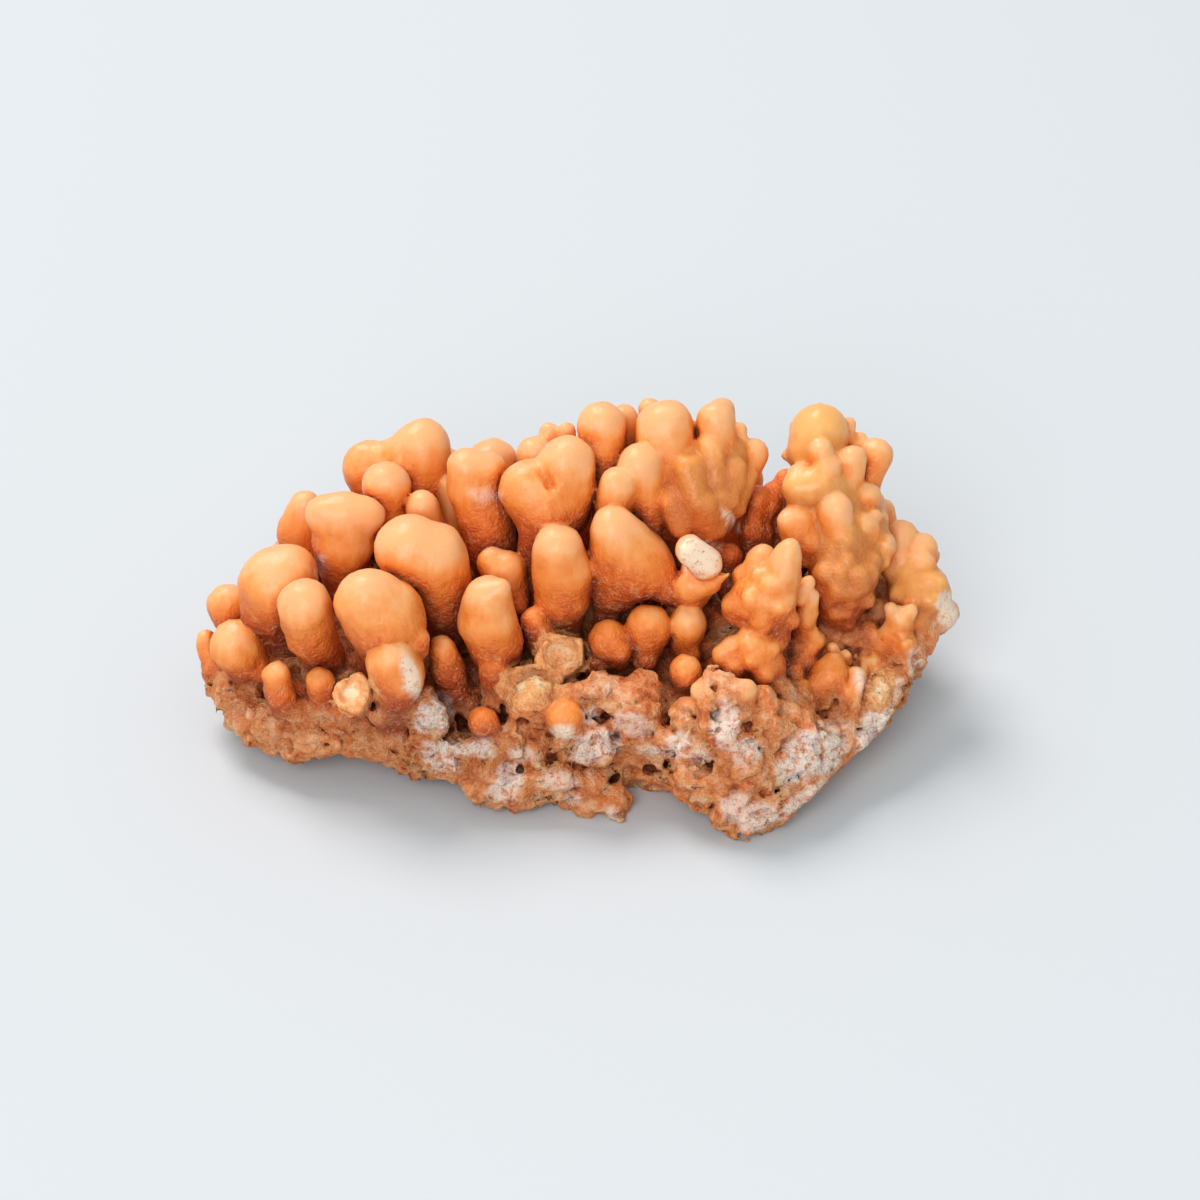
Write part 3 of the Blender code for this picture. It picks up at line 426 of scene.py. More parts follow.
class Noise:
    """Smooth random lattice, -1 to 1, with cells of the given size in mm."""
    def __init__(self, size, seed):
        self.size = size
        n = np.ceil((np.array(HIGH) - np.array(LOW)) / size).astype(int) + 6
        self.low = np.array(LOW) - 2 * size
        self.grid = np.random.default_rng(seed).uniform(-1, 1, n).astype(np.float32)

    def at(self, p):
        q = np.clip((p - self.low) / self.size, 0, np.array(self.grid.shape) - 1.001)
        i = np.floor(q)
        f = q - i
        return trilinear(self.grid, 0.0, 1.0, i + f * f * (3 - 2 * f))


def chips(p, size, seed):
    """Flat broken facets with small ledges between them, -1 to 1."""
    rng = np.random.default_rng(seed)
    n = np.ceil((np.array(HIGH) - np.array(LOW)) / size).astype(int) + 6
    spot = rng.uniform(0, 1, (*n, 3)).astype(np.float32)
    lean = rng.normal(0, 0.55, (*n, 3)).astype(np.float32)
    q = ((p - (np.array(LOW) - 2 * size)) / size).astype(np.float32)
    i = np.floor(q).astype(int)
    best = np.full(len(p), 99.0, np.float32)
    out = np.zeros(len(p), np.float32)
    for dx in (-1, 0, 1):
        for dy in (-1, 0, 1):
            for dz in (-1, 0, 1):
                j = np.clip(i + (dx, dy, dz), 0, n - 1)
                away = q - (j + spot[j[:, 0], j[:, 1], j[:, 2]])
                far = (away * away).sum(1)
                m = far < best
                best[m] = far[m]
                out[m] = (away[m] * lean[j[m, 0], j[m, 1], j[m, 2]]).sum(1)
    return np.clip(out, -1, 1)


def step(x, a, b):
    t = np.clip((x - a) / (b - a), 0, 1)
    return t * t * (3 - 2 * t)


FINGER_LIST = [(name, k, [from_sight(c) for c in chains]) for name, k, chains in FINGERS]


def back_group(number, x, y, z, r, lean_x, lean_y, length):
    """A finger of the unseen side, with its own size, lean and side lobes."""
    rng = np.random.default_rng(300 + number)
    r *= rng.uniform(0.82, 1.05)
    x, z = x + rng.uniform(-1.2, 1.2), z + rng.uniform(-1.8, 0.4)
    main = back_finger(x, y, z, r, lean_x + rng.uniform(-1.5, 1.5), lean_y, length)
    group = [main]
    for _ in range(int(rng.choice((0, 1, 1, 2)))):
        turn = rng.uniform(-0.4, np.pi + 0.4)
        down = rng.uniform(0.15, 0.5) * length
        size = r * rng.uniform(0.55, 0.8)
        away = r * 1.05
        group.append([(x + away * np.cos(turn), min(y + away * 0.5 * np.sin(turn), 34.6 - size * 0.6), z - down, size),
                      (x + away * 0.5 * np.cos(turn), y, z - down - 2.0 * size, size * 0.8)])
    return group


FINGER_LIST += [("b%02d" % i, 1.1, back_group(i, *row)) for i, row in enumerate(BACK_FINGERS)]


def knobs(rng):
    """Small round knobs on the towers: (x, y, z, radius)."""
    found = []
    for name, k, chains in FINGER_LIST:
        if name not in ("t1", "t2", "t3", "l12", "l50", "l57"):
            continue
        per = {"t1": 0.0, "t2": 0.12, "t3": 0.5, "l12": 0.06, "l50": 0.1, "l57": 0.3}[name]
        for chain in chains:
            for a, b in zip(chain[:-1], chain[1:]):
                a, b = np.array(a), np.array(b)
                length = np.linalg.norm(b[:3] - a[:3])
                for _ in range(int(length * per * (a[3] + b[3]) / 6)):
                    t = rng.uniform(0, 1)
                    c = a + (b - a) * t
                    way = rng.normal(size=3)
                    way /= np.linalg.norm(way)
                    if way[2] < -0.5:
                        continue
                    r = rng.uniform(0.8, 1.7)
                    found.append((*(c[:3] + way * (c[3] - r * 0.5)), r))
    return found


def build_field():
    rng = np.random.default_rng(11)
    crust = Field(LOW, HIGH, CELL)
    for chain in CRUST_BODY:
        low, high = limits([chain], 4.0)
        crust.blend(low, high, chain_distance(chain, 1.0), 3.0)
    for k, chain in CRUST_FRONT:
        c = from_sight(chain)
        low, high = limits([c], 3.0)
        crust.blend(low, high, chain_distance(c, 1.0), k)
    whole = Field(LOW, HIGH, CELL)
    fingers = whole.d.copy()
    for name, k, chains in FINGER_LIST:
        low, high = limits(chains, 2.6)
        cut, p = whole.window(low, high)
        d = None
        for c in chains:
            e = chain_distance(c, 0.3)(p)
            d = e if d is None else soft_min(d, e, k)
        fused = 1.0 if name in FUSED else 0.35
        fingers[cut] = soft_min(fingers[cut], d.astype(np.float32), fused)
    holder = Field(LOW, HIGH, CELL)
    holder.d = fingers
    for x, y, z, r in knobs(rng):
        c = [(x, y, z, r)]
        low, high = limits([c], 2.0)
        holder.blend(low, high, chain_distance(c, 0), 1.3)
    skin = np.minimum(holder.d, crust.d)
    for a, b in zip(set_on(skin, holder.low, CELL, [l[:3] for l in LOBES], 0.30), set_on(skin, holder.low, CELL, [l[3:] for l in LOBES], 0.45)):
        if abs(a[1] - b[1]) > 7:
            continue
        low, high = limits([[a, b]], 2.0)
        holder.blend(low, high, chain_distance([a, b], 0.3), 0.7)
    for ball in set_on(np.minimum(holder.d, crust.d), holder.low, CELL, KNOBS, 0.5):
        low, high = limits([[ball]], 2.0)
        holder.blend(low, high, chain_distance([ball], 0.3), 0.7)
    grown = set_on(np.minimum(holder.d, crust.d), holder.low, CELL, ROOT_KNOBS, 0.35)
    for x, y, z, r in grown:
        c = [(x, y, z, r), (x, y + 1.2, z - 2.6, r * 0.85)]
        low, high = limits([c], 2.0)
        holder.blend(low, high, chain_distance(c, 0.3), 0.9)
    # small growths on the crust of the unseen side
    for _ in range(90):
        x, y = rng.uniform(-52, 52), rng.uniform(21.0, 35.0)
        i, j = int((x - LOW[0]) / CELL), int((y - LOW[1]) / CELL)
        column = crust.d[i, j]
        if not (column < 0).any():
            continue
        z = crust.axes[2][np.nonzero(column < 0)[0].max()]
        r = rng.uniform(0.9, 2.3)
        if y + r > 35.5 or z < 4:
            continue
        c = [(x, y, z + r * 0.4, r), (x, y - 1.0, z - 2.0, r * 0.8)]
        low, high = limits([c], 2.0)
        holder.blend(low, high, chain_distance(c, 0.3), 0.6)
    # short growths on the bare floor between the taller fingers, mostly seen from above
    spare = np.random.default_rng(77)
    for _ in range(170):
        x, y = spare.uniform(-50, 48), spare.uniform(3.0, 24.0)
        r, rise = spare.uniform(1.2, 2.6), spare.uniform(0.0, 2.6)
        i, j = int((x - LOW[0]) / CELL), int((y - LOW[1]) / CELL)
        column = crust.d[i, j]
        if not (column < 0).any():
            continue
        z = crust.axes[2][np.nonzero(column < 0)[0].max()]
        above = holder.d[i, j, int((z - LOW[2]) / CELL):]
        if above.min() < r * 0.4:
            continue
        c = [(x, y, z + r * 0.6 + rise, r), (x, y, z - 2.0, r * 0.8)]
        low, high = limits([c], 2.0)
        holder.blend(low, high, chain_distance(c, 0.3), 0.5)
    fingers = holder.d
    for ball in set_on(np.minimum(holder.d, crust.d), holder.low, CELL, FILL, 0.6):
        low, high = limits([[ball]], 3.0)
        crust.blend(low, high, chain_distance([ball], 0.3), 1.5)

    # roughness of the two kinds of surface, worked out only near the skin
    both = soft_min(fingers, crust.d, 0.9)
    near = np.abs(both) < 2.6
    ijk = np.nonzero(near)
    p = np.stack([crust.axes[a][ijk[a]] for a in range(3)], 1).astype(np.float64)
    f, m = fingers[near], crust.d[near]
    crusty = step(f - m, -0.6, 1.6)
    lumps = 0.22 * Noise(5.2, 1).at(p) + 0.20 * Noise(2.3, 2).at(p) + 0.07 * Noise(1.3, 8).at(p)
    grain = Noise(0.95, 3).at(p)
    low_part = step(-p[:, 2], -36.0, -10.0)
    soft = lumps * (1 - 0.4 * low_part) + grain * (0.05 + 0.22 * low_part)
    layered = (p - np.array(LOW)) * np.array((0.72, 0.72, 1.35)) + np.array(LOW)
    a, e, g, h = (Noise(s, i).at(p) for s, i in ((4.6, 4), (0.85, 7), (2.6, 9), (1.35, 12)))
    b, c = Noise(2.7, 5).at(layered), Noise(1.5, 6).at(layered)
    rough = 0.6 * a + 0.85 * step(-np.abs(b), -0.34, 0.0) + 0.50 * step(-np.abs(c), -0.34, 0.0) + 0.24 * e
    rough += 1.0 * step(g, 0.36, 0.80) + 0.55 * step(h, 0.42, 0.85) - 0.45
    rocky = np.nonzero(crusty > 0.03)[0]
    rough[rocky] = rough[rocky] * 1.0 + chips(p[rocky], 4.6, 15) * 1.2 + chips(p[rocky], 2.2, 16) * 0.8
    rough = np.where(rough < 0, rough * 0.7, rough)
    rough = np.clip(rough, -0.8, 2.2)
    d = both[near] + soft * (1 - crusty) + rough * crusty
    both[near] = d
    whole.d = both
    for u, v, y, r, deep in SLOTS:
        q, unit = sight(u, v, y - 2.0)
        back = sight(u, v - 2, y + deep)[0]
        c = [(*q, r * unit), (*back, r * unit * 0.6)]
        low, high = limits([c], 3.0)
        cut, p = whole.window(low, high)
        g = np.stack([x.ravel() for x in np.broadcast_arrays(*p)], 1).astype(np.float64)
        wave = 0.8 * Noise(1.3, 41).at(g).reshape(whole.d[cut].shape)
        hole = None
        for _ in range(5):
            dx, dz = rng.uniform(-1.3, 1.3), rng.uniform(-0.6, 0.6)
            near_end = (q[0] + r * unit * dx, q[1], q[2] + r * unit * dz, r * unit * 0.42)
            far_end = (back[0] + r * unit * dx * 0.5, back[1] - rng.uniform(0, 1), back[2] + r * unit * dz * 0.5, r * unit * 0.45)
            e = chain_distance([near_end, far_end], 0.3)(p)
            hole = e if hole is None else np.minimum(hole, e)
        whole.d[cut] = -soft_min(-whole.d[cut], (hole + wave).astype(np.float32), 0.3)
    pit = set_on(whole.d, whole.low, CELL, [(550, 486, 4.6)], 0.9) + set_on(whole.d, whole.low, CELL, [(547, 479, 3.4)], 0.5)
    pit += set_on(whole.d, whole.low, CELL, [(541, 474, 2.4)], 0.0)
    low, high = limits([pit], 2.0)
    whole.carve(low, high, chain_distance(pit, 0.3), 1.1)
    # angular broken crystals
    gold = (1 + 5 ** 0.5) / 2
    twelve = np.array([(0, a, b * gold) for a in (-1, 1) for b in (-1, 1)] + [(a, b * gold, 0) for a in (-1, 1) for b in (-1, 1)]
                      + [(b * gold, 0, a) for a in (-1, 1) for b in (-1, 1)])
    twelve /= np.linalg.norm(twelve, axis=1)[:, None]
    for u, v, y, r, count in CRYSTALS:
        spots = [(u + rng.normal() * r * 0.5, v + rng.normal() * r * 0.42, r * rng.uniform(0.28, 0.5)) for _ in range(count)]
        for x, y, z, size in set_on(whole.d, whole.low, CELL, spots, 0.1):
            centre = np.array([x, y, z])
            turn = np.linalg.qr(rng.normal(size=(3, 3)))[0]
            ways = (twelve + rng.normal(size=(12, 3)) * 0.22) @ turn
            ways /= np.linalg.norm(ways, axis=1)[:, None]
            reach = size * rng.uniform(0.6, 1.05, 12)

            def facets(p, centre=centre, ways=ways, reach=reach):
                d = None
                for w, o in zip(ways, reach):
                    e = (p[0] - centre[0]) * w[0] + (p[1] - centre[1]) * w[1] + (p[2] - centre[2]) * w[2] - o
                    d = e if d is None else np.maximum(d, e)
                return d
            whole.blend(centre - size * 2.0, centre + size * 2.0, facets, 0.12)
    for u, v, y, ru, rv, turn in BROKEN:
        (x, y, z), unit = sight(u, v, y)
        r = (ru + rv) / 2 * unit
        front = np.array([rng.uniform(-0.15, 0.15), -0.72, 0.68])
        front /= np.linalg.norm(front)
        right = np.array([cos(radians(turn)), 0, sin(radians(turn))])
        right -= front * (right @ front)
        right /= np.linalg.norm(right)
        up = np.cross(right, front)
        angles = np.linspace(0, 2 * np.pi, 8)[:-1] + rng.uniform(-0.3, 0.3, 7)
        sides = [(right * np.cos(w) * rv + up * np.sin(w) * ru, rng.uniform(0.82, 1.05)) for w in angles]
        mm = r / ((ru + rv) / 2)

        def broken(q, at=(x, y, z), sides=sides, front=front, r=r, mm=mm, ru=ru, rv=rv):
            g = [q[0] - at[0], q[1] - at[1], q[2] - at[2]]
            along = g[0] * front[0] + g[1] * front[1] + g[2] * front[2]
            shape = np.broadcast_arrays(*q)[0].shape
            spot = np.stack([x.ravel() for x in np.broadcast_arrays(*q)], 1).astype(np.float64)
            d = along - 0.9 + (0.5 * Noise(1.8, 51).at(spot) + 1.1 * chips(spot, 1.9, 71)).reshape(shape)
            wall = None
            for w, share in sides:
                long = np.linalg.norm(w)
                e = (g[0] * w[0] + g[1] * w[1] + g[2] * w[2]) / long - mm * share * ru * rv / long
                wall = e if wall is None else np.maximum(wall, e)
            dish = np.maximum(wall + 1.2, -along + 0.1)          # shallow hollow inside the rim
            return np.maximum(np.maximum(d, wall), np.maximum(-dish, -along - 9.0))
        whole.blend(np.array((x, y, z)) - r * 2.6, np.array((x, y, z)) + r * 2.6, broken, 0.25)
    seam = set_on(whole.d, whole.low, CELL, SEAM, -0.55)
    low, high = limits([seam], 1.5)
    whole.blend(low, high, chain_distance(seam, 0.3), 0.5)
    # the flat break on the right of the front edge
    centre = np.array(sight(812, 756, -25.0)[0])
    way = np.array([0.42, -0.80, 0.30])
    way /= np.linalg.norm(way)
    cut, p = whole.window(centre - 9, centre + 9)
    plane = (p[0] - centre[0]) * way[0] + (p[1] - centre[1]) * way[1] + (p[2] - centre[2]) * way[2] - 1.2
    away = np.sqrt((p[0] - centre[0]) ** 2 + (p[1] - centre[1]) ** 2 + (p[2] - centre[2]) ** 2)
    plane = plane - step(away, 5.5, 9.0) * 6
    whole.d[cut] = np.maximum(whole.d[cut], plane.astype(np.float32))
    # the straight lower right edge, as a plane through the sight lines of its two ends
    (a, _), (b, _) = sight(911, 703, -10.0), sight(758, 849, -30.0)
    far, _ = sight(911, 703, 20.0)
    way = np.cross(np.array(b) - np.array(a), np.array(far) - np.array(a))
    way /= np.linalg.norm(way)
    if way[0] < 0:
        way = -way
    x, y, z = crust.axes[0][:, None, None], crust.axes[1][None, :, None], crust.axes[2][None, None, :]
    plane = (x - a[0]) * way[0] + (y - a[1]) * way[1] + (z - a[2]) * way[2]
    ripple = Noise(2.2, 61)
    cut = np.nonzero((np.abs(plane) < 2.0) & (whole.d < 2.0) & (z < 24))
    q = np.stack([crust.axes[i][cut[i]] for i in range(3)], 1).astype(np.float64)
    plane = np.where(z < 24, plane, -9.0).astype(np.float32)
    plane[cut] += 0.5 * ripple.at(q)
    whole.d = np.maximum(whole.d, plane)
    # the flat underside
    whole.d = np.maximum(whole.d, -crust.axes[2][None, None, :])
    return whole, fingers, crust.d


# ---------------------------------------------------------------- the surface
def surface(d, low, cell):
    inside = d < 0
    total = np.zeros(np.array(d.shape) - 1, np.int8)
    corners = [(x, y, z) for x in (0, 1) for y in (0, 1) for z in (0, 1)]
    nx, ny, nz = d.shape
    for x, y, z in corners:
        total += inside[x:nx - 1 + x, y:ny - 1 + y, z:nz - 1 + z]
    active = (total > 0) & (total < 8)
    cell_at = np.nonzero(active)
    n = len(cell_at[0])
    number = np.full(active.shape, -1, np.int32)
    number[active] = np.arange(n, dtype=np.int32)
    value = {c: d[cell_at[0] + c[0], cell_at[1] + c[1], cell_at[2] + c[2]] for c in corners}
    where, count = np.zeros((n, 3)), np.zeros(n)
    for c in corners:
        for axis in range(3):
            if c[axis]:
                continue
            e = tuple(1 if i == axis else c[i] for i in range(3))
            a, b = value[c], value[e]
            m = (a < 0) != (b < 0)
            t = a[m] / (a[m] - b[m])
            q = np.tile(np.array(c, float), (m.sum(), 1))
            q[:, axis] = t
            where[m] += q
            count[m] += 1
    points = low + cell * (np.stack(cell_at, 1) + where / count[:, None])
    quads = []
    for axis in range(3):
        s1 = [slice(None)] * 3
        s2 = [slice(None)] * 3
        s1[axis], s2[axis] = slice(0, -1), slice(1, None)
        a, b = inside[tuple(s1)], inside[tuple(s2)]
        o1, o2 = (axis + 1) % 3, (axis + 2) % 3
        m = a != b
        at = np.stack(np.nonzero(m), 1)
        keep = (at[:, o1] > 0) & (at[:, o2] > 0) & (at[:, o1] < d.shape[o1] - 1) & (at[:, o2] < d.shape[o2] - 1)
        at = at[keep]
        out = a[m][keep]

        def index(i, j):
            q = at.copy()
            q[:, o1] -= i
            q[:, o2] -= j
            return number[q[:, 0], q[:, 1], q[:, 2]]
        quad = np.stack([index(1, 1), index(0, 1), index(0, 0), index(1, 0)], 1)
        quad[~out] = quad[~out][:, ::-1]
        quads.append(quad)
    return points, np.concatenate(quads)


def largest_skin(points, quads):
    label = np.arange(len(points))
    pairs = np.concatenate([quads[:, [0, 1]], quads[:, [1, 2]], quads[:, [2, 3]]])
    while True:
        low = np.minimum(label[pairs[:, 0]], label[pairs[:, 1]])
        new = label.copy()
        np.minimum.at(new, pairs[:, 0], low)
        np.minimum.at(new, pairs[:, 1], low)
        new = new[new]
        new = new[new]
        if (new == label).all():
            break
        label = new
    names, counts = np.unique(label, return_counts=True)
    keep = label == names[counts.argmax()]
    renumber = np.cumsum(keep) - 1
    quads = quads[keep[quads[:, 0]]]
    return points[keep], renumber[quads]


def make_mesh(name, points, faces):
    mesh = bpy.data.meshes.new(name)
    mesh.vertices.add(len(points))
    mesh.vertices.foreach_set("co", np.ascontiguousarray(points, np.float32).ravel())
    mesh.loops.add(faces.size)
    mesh.loops.foreach_set("vertex_index", np.ascontiguousarray(faces, np.int32).ravel())
    mesh.polygons.add(len(faces))
    mesh.polygons.foreach_set("loop_start", np.arange(0, faces.size, faces.shape[1], dtype=np.int32))
    mesh.update(calc_edges=True)
    mesh.validate()
    return mesh


def fill_attribute(mesh, name, values):
    a = mesh.attributes.new(name, 'FLOAT', 'POINT')
    a.data.foreach_set("value", np.ascontiguousarray(values, np.float32))


def box_blur(g, r, passes):
    for _ in range(passes):
        for axis in range(3):
            pad = [(0, 0)] * 3
            pad[axis] = (r + 1, r)
            c = np.cumsum(np.pad(g, pad, mode='edge'), axis=axis, dtype=np.float64)
            n = g.shape[axis]
            hi = np.take(c, np.arange(2 * r + 1, 2 * r + 1 + n), axis=axis)
            lo = np.take(c, np.arange(0, n), axis=axis)
            g = ((hi - lo) / (2 * r + 1)).astype(np.float32)
    return g


def vertex_values(p, normal, field, fingers, crust):
    """What the finish needs at each point of the skin: place along the finger, crust, white, hollow, and how deep each
    finger's colour is, from random differences and painted shade.
    """
    n = len(p)
    best = np.full(n, 9.0)
    along = np.full(n, 1.0)
    tone_and_shade = np.full(n, 0.5)
    tower = np.zeros(n)
    rng = np.random.default_rng(5)
    for name, k, chains in FINGER_LIST:
        shade = rng.uniform(0, 1)
        low, high = limits(chains, 2.0)
        pick = np.nonzero(((p > low) & (p < high)).all(1))[0]
        if not len(pick):
            continue
        q = p[pick].T
        for chain in chains:
            top = max(b[2] + 0.9 * b[3] for c in chains for b in c) if name[0] != "k" else chain[0][2] + chain[0][3] + 3.0
            ease = 0.5 if name[0] == "t" else 1.0
            for a, b in zip(chain if len(chain) == 1 else chain[:-1], chain if len(chain) == 1 else chain[1:]):
                d = stem(q, a, b)
                better = d < best[pick]
                hit = pick[better]
                best[hit] = d[better]
                along[hit] = np.clip(top - p[hit, 2], 0, 60) * ease
                tone_and_shade[hit] = shade + 6.0 * DEEPER_TONE_AND_SHADE.get(name, 0.0)
                tower[hit] = name[0] in "tk" or name in ("l50", "l57")
    f = trilinear(fingers, field.low, field.cell, p)
    m = trilinear(crust, field.low, field.cell, p)
    crusty = step(f - m + 0.5 * Noise(2.6, 23).at(p), -1.6, 1.4)
    solid = (field.d < 0).astype(np.float32)
    s = [n // 2 * 2 for n in solid.shape]
    half = solid[:s[0], :s[1], :s[2]].reshape(s[0] // 2, 2, s[1] // 2, 2, s[2] // 2, 2).mean((1, 3, 5))
    tight = box_blur(half, 1, 3)
    wide = box_blur(half, 4, 3)
    low = field.low + field.cell * 0.5
    q = p + normal * 0.9
    # hollow and deep measure how closed in each point is; the finish uses them for painted shade in crevices and
    # hollows
    hollow = trilinear(tight, low, field.cell * 2, q)
    deep = trilinear(wide, low, field.cell * 2, p + normal * 2.0)
    # facing is the upward part of the normal, used in the finish for painted shade on faces turned sideways or down
    facing = normal[:, 2]
    low_down = step(-p[:, 2], -30.0, -8.0)
    u, v = seen_at(p)
    jag = Noise(1.6, 21).at(p) * 0.5 + Noise(0.8, 22).at(p) * 0.5
    us, vs = np.arange(180, 984, 2.0), np.arange(380, 862, 2.0)
    uu, vv = np.meshgrid(us, vs, indexing='ij')
    t, hit, eye, _ = first_hit(field.d, field.low, field.cell, uu.ravel(), vv.ravel())
    t = np.where(hit, t, 1e3).reshape(uu.shape)
    iu = np.clip(((u - 180) / 2).round().astype(int), 0, len(us) - 1)
    iv = np.clip(((v - 380) / 2).round().astype(int), 0, len(vs) - 1)
    ahead = np.linalg.norm(p - eye, axis=1) - t[iu, iv]
    seen = step(-np.abs(ahead), -2.6, -1.4)
    amber = np.zeros(n)
    for cu, cv, y, ru, rv, turn in BROKEN:
        c, s_ = cos(radians(turn)), sin(radians(turn))
        du, dv = u - cu, v - cv
        far = np.sqrt(((du * c + dv * s_) / ru) ** 2 + ((-du * s_ + dv * c) / rv) ** 2) + 0.15 * jag
        amber = np.maximum(amber, step(1.2 - far, 0.0, 0.12) * (1.0 - 0.6 * np.clip(far, 0, 1)) * seen)
    white = np.zeros(n)
    cream = np.zeros(n)
    for cu, cv, y, ru, rv, turn, strength in WHITE:
        c, s_ = cos(radians(turn)), sin(radians(turn))
        du, dv = u - cu, v - cv
        a, b = (du * c + dv * s_) / ru, (-du * s_ + dv * c) / rv
        w = step(1.0 - np.sqrt(a * a + b * b) + 0.30 * jag, -0.12, 0.22) * strength
        w = w * seen
        if (cu, cv) in SMOOTH_WHITE:
            cream = np.maximum(cream, w)
        else:
            white = np.maximum(white, w)
    return dict(along=along, tone_and_shade=tone_and_shade, crusty=crusty, hollow=hollow, deep=deep, white=white, cream=cream,
                facing=facing, low_down=low_down, tower=tower, amber=amber)


# ---------------------------------------------------------------- the finish
def calcite():
    mat = bpy.data.materials.new("orange_calcite")
    mat.use_nodes = True
    nt = mat.node_tree
    nodes, links = nt.nodes, nt.links
    nodes.clear()
    out = nodes.new("ShaderNodeOutputMaterial")
    shader = nodes.new("ShaderNodeBsdfPrincipled")
    links.new(shader.outputs["BSDF"], out.inputs["Surface"])

    def attribute(name):
        n = nodes.new("ShaderNodeAttribute")
        n.attribute_name = name
        return n.outputs["Fac"]

    def math(op, a, b=None, clamp=False):
        n = nodes.new("ShaderNodeMath")
        n.operation = op
        n.use_clamp = clamp
        for i, x in enumerate((a, b)):
            if x is None:
                continue
            if isinstance(x, (int, float)):
                n.inputs[i].default_value = x
            else:
                links.new(x, n.inputs[i])
        return n.outputs[0]

    def smooth(x, lo, hi, to_lo=0.0, to_hi=1.0):
        n = nodes.new("ShaderNodeMapRange")
        n.interpolation_type = 'SMOOTHSTEP'
        n.inputs["From Min"].default_value = lo
        n.inputs["From Max"].default_value = hi
        n.inputs["To Min"].default_value = to_lo
        n.inputs["To Max"].default_value = to_hi
        links.new(x, n.inputs["Value"])
        return n.outputs["Result"]

    def mix(fac, a, b, kind='MIX'):
        n = nodes.new("ShaderNodeMix")
        n.data_type = 'RGBA'
        n.blend_type = kind
        for key, x in (("Factor_Float", fac), ("A_Color", a), ("B_Color", b)):
            s = next(i for i in n.inputs if i.identifier == key)
            if isinstance(x, (int, float)):
                s.default_value = x
            elif isinstance(x, tuple):
                s.default_value = (*x, 1.0)
            else:
                links.new(x, s)
        return next(o for o in n.outputs if o.identifier == "Result_Color")

    def ramp(x, stops):
        n = nodes.new("ShaderNodeValToRGB")
        r = n.color_ramp
        while len(r.elements) > 1:
            r.elements.remove(r.elements[-1])
        r.elements[0].position, r.elements[0].color = stops[0][0], (*stops[0][1], 1)
        for at, col in stops[1:]:
            r.elements.new(at).color = (*col, 1)
        links.new(x, n.inputs["Fac"])
        return n.outputs["Color"]

    place = nodes.new("ShaderNodeTexCoord").outputs["Object"]

    def noise(scale, detail=3.0, rough=0.55, warp=0.0, stretch=None):
        n = nodes.new("ShaderNodeTexNoise")
        spot = place
        if stretch:
            m = nodes.new("ShaderNodeVectorMath")
            m.operation = 'MULTIPLY'
            m.inputs[1].default_value = stretch
            links.new(place, m.inputs[0])
            spot = m.outputs[0]
        n.inputs["Scale"].default_value = scale
        n.inputs["Detail"].default_value = detail
        n.inputs["Roughness"].default_value = rough
        n.inputs["Distortion"].default_value = warp
        links.new(spot, n.inputs["Vector"])
        return n.outputs["Fac"]

    along, crusty, hollow, deep = attribute("along"), attribute("crusty"), attribute("hollow"), attribute("deep")
    white, tone_and_shade, cream = attribute("white"), attribute("tone_and_shade"), attribute("cream")
    blotch, fine, speck, dust = noise(150, 4), noise(620, 4, 0.65), noise(1900, 2), noise(1250, 4, 0.75)
    facing, low_down, tower, amber = attribute("facing"), attribute("low_down"), attribute("tower"), attribute("amber")
    shift = math('MULTIPLY', math('SUBTRACT', blotch, 0.5), 0.7)
    streak = noise(700, 3, 0.6, 0.0, (1.0, 1.0, 0.22))
    shift = math('ADD', shift, math('MULTIPLY', math('SUBTRACT', streak, 0.5), 0.35))
    # each finger's own depth of colour brings random differences and the painted shade of the low fingers
    shift = math('ADD', shift, math('MULTIPLY', math('SUBTRACT', tone_and_shade, 0.5), 0.16))
    # painted shade: faces turned sideways or down are made deeper orange, as if shaded from the light above
    shift = math('ADD', shift, math('MULTIPLY', math('SUBTRACT', 1.0, facing), 0.20))
    shift = math('ADD', shift, math('MULTIPLY', low_down, 0.26))
    # deeper orange further below each finger's top: partly the stone's own colour, partly painted shade
    reach = math('ADD', math('MULTIPLY', along, 1.0 / 22.0), shift)
    # painted shade: closed-in places between the fingers are made deeper orange
    reach = math('ADD', reach, math('MULTIPLY', math('SUBTRACT', hollow, 0.40), 0.9))
    finger = ramp(reach, [(0.0, (0.94, 0.445, 0.190)), (0.12, (0.92, 0.375, 0.116)), (0.32, (0.87, 0.262, 0.046)),
                          (0.58, (0.79, 0.160, 0.018)), (0.80, (0.55, 0.086, 0.010)), (1.0, (0.30, 0.038, 0.006))])
    glassy = ramp(reach, [(0.0, (0.90, 0.44, 0.138)), (0.22, (0.80, 0.325, 0.080)), (0.52, (0.68, 0.215, 0.042)),
                          (0.80, (0.60, 0.130, 0.020)), (1.0, (0.36, 0.058, 0.010))])
    finger = mix(tower, finger, glassy)
    mottle = math('MULTIPLY', smooth(reach, 0.25, 0.75), math('SUBTRACT', 1.0, math('MULTIPLY', tower, 0.75)))
    finger = mix(math('MULTIPLY', smooth(fine, 0.48, 0.72, 0.0, 0.50), mottle), finger, (0.45, 0.085, 0.012))
    finger = mix(math('MULTIPLY', smooth(fine, 0.50, 0.30, 0.0, 0.35), mottle), finger, (0.96, 0.52, 0.24))
    finger = mix(math('MULTIPLY', smooth(speck, 0.60, 0.74, 0.0, 0.45), mottle), finger, (0.98, 0.72, 0.50))
    tint = math('ADD', math('MULTIPLY', blotch, 0.45), math('MULTIPLY', fine, 0.55))
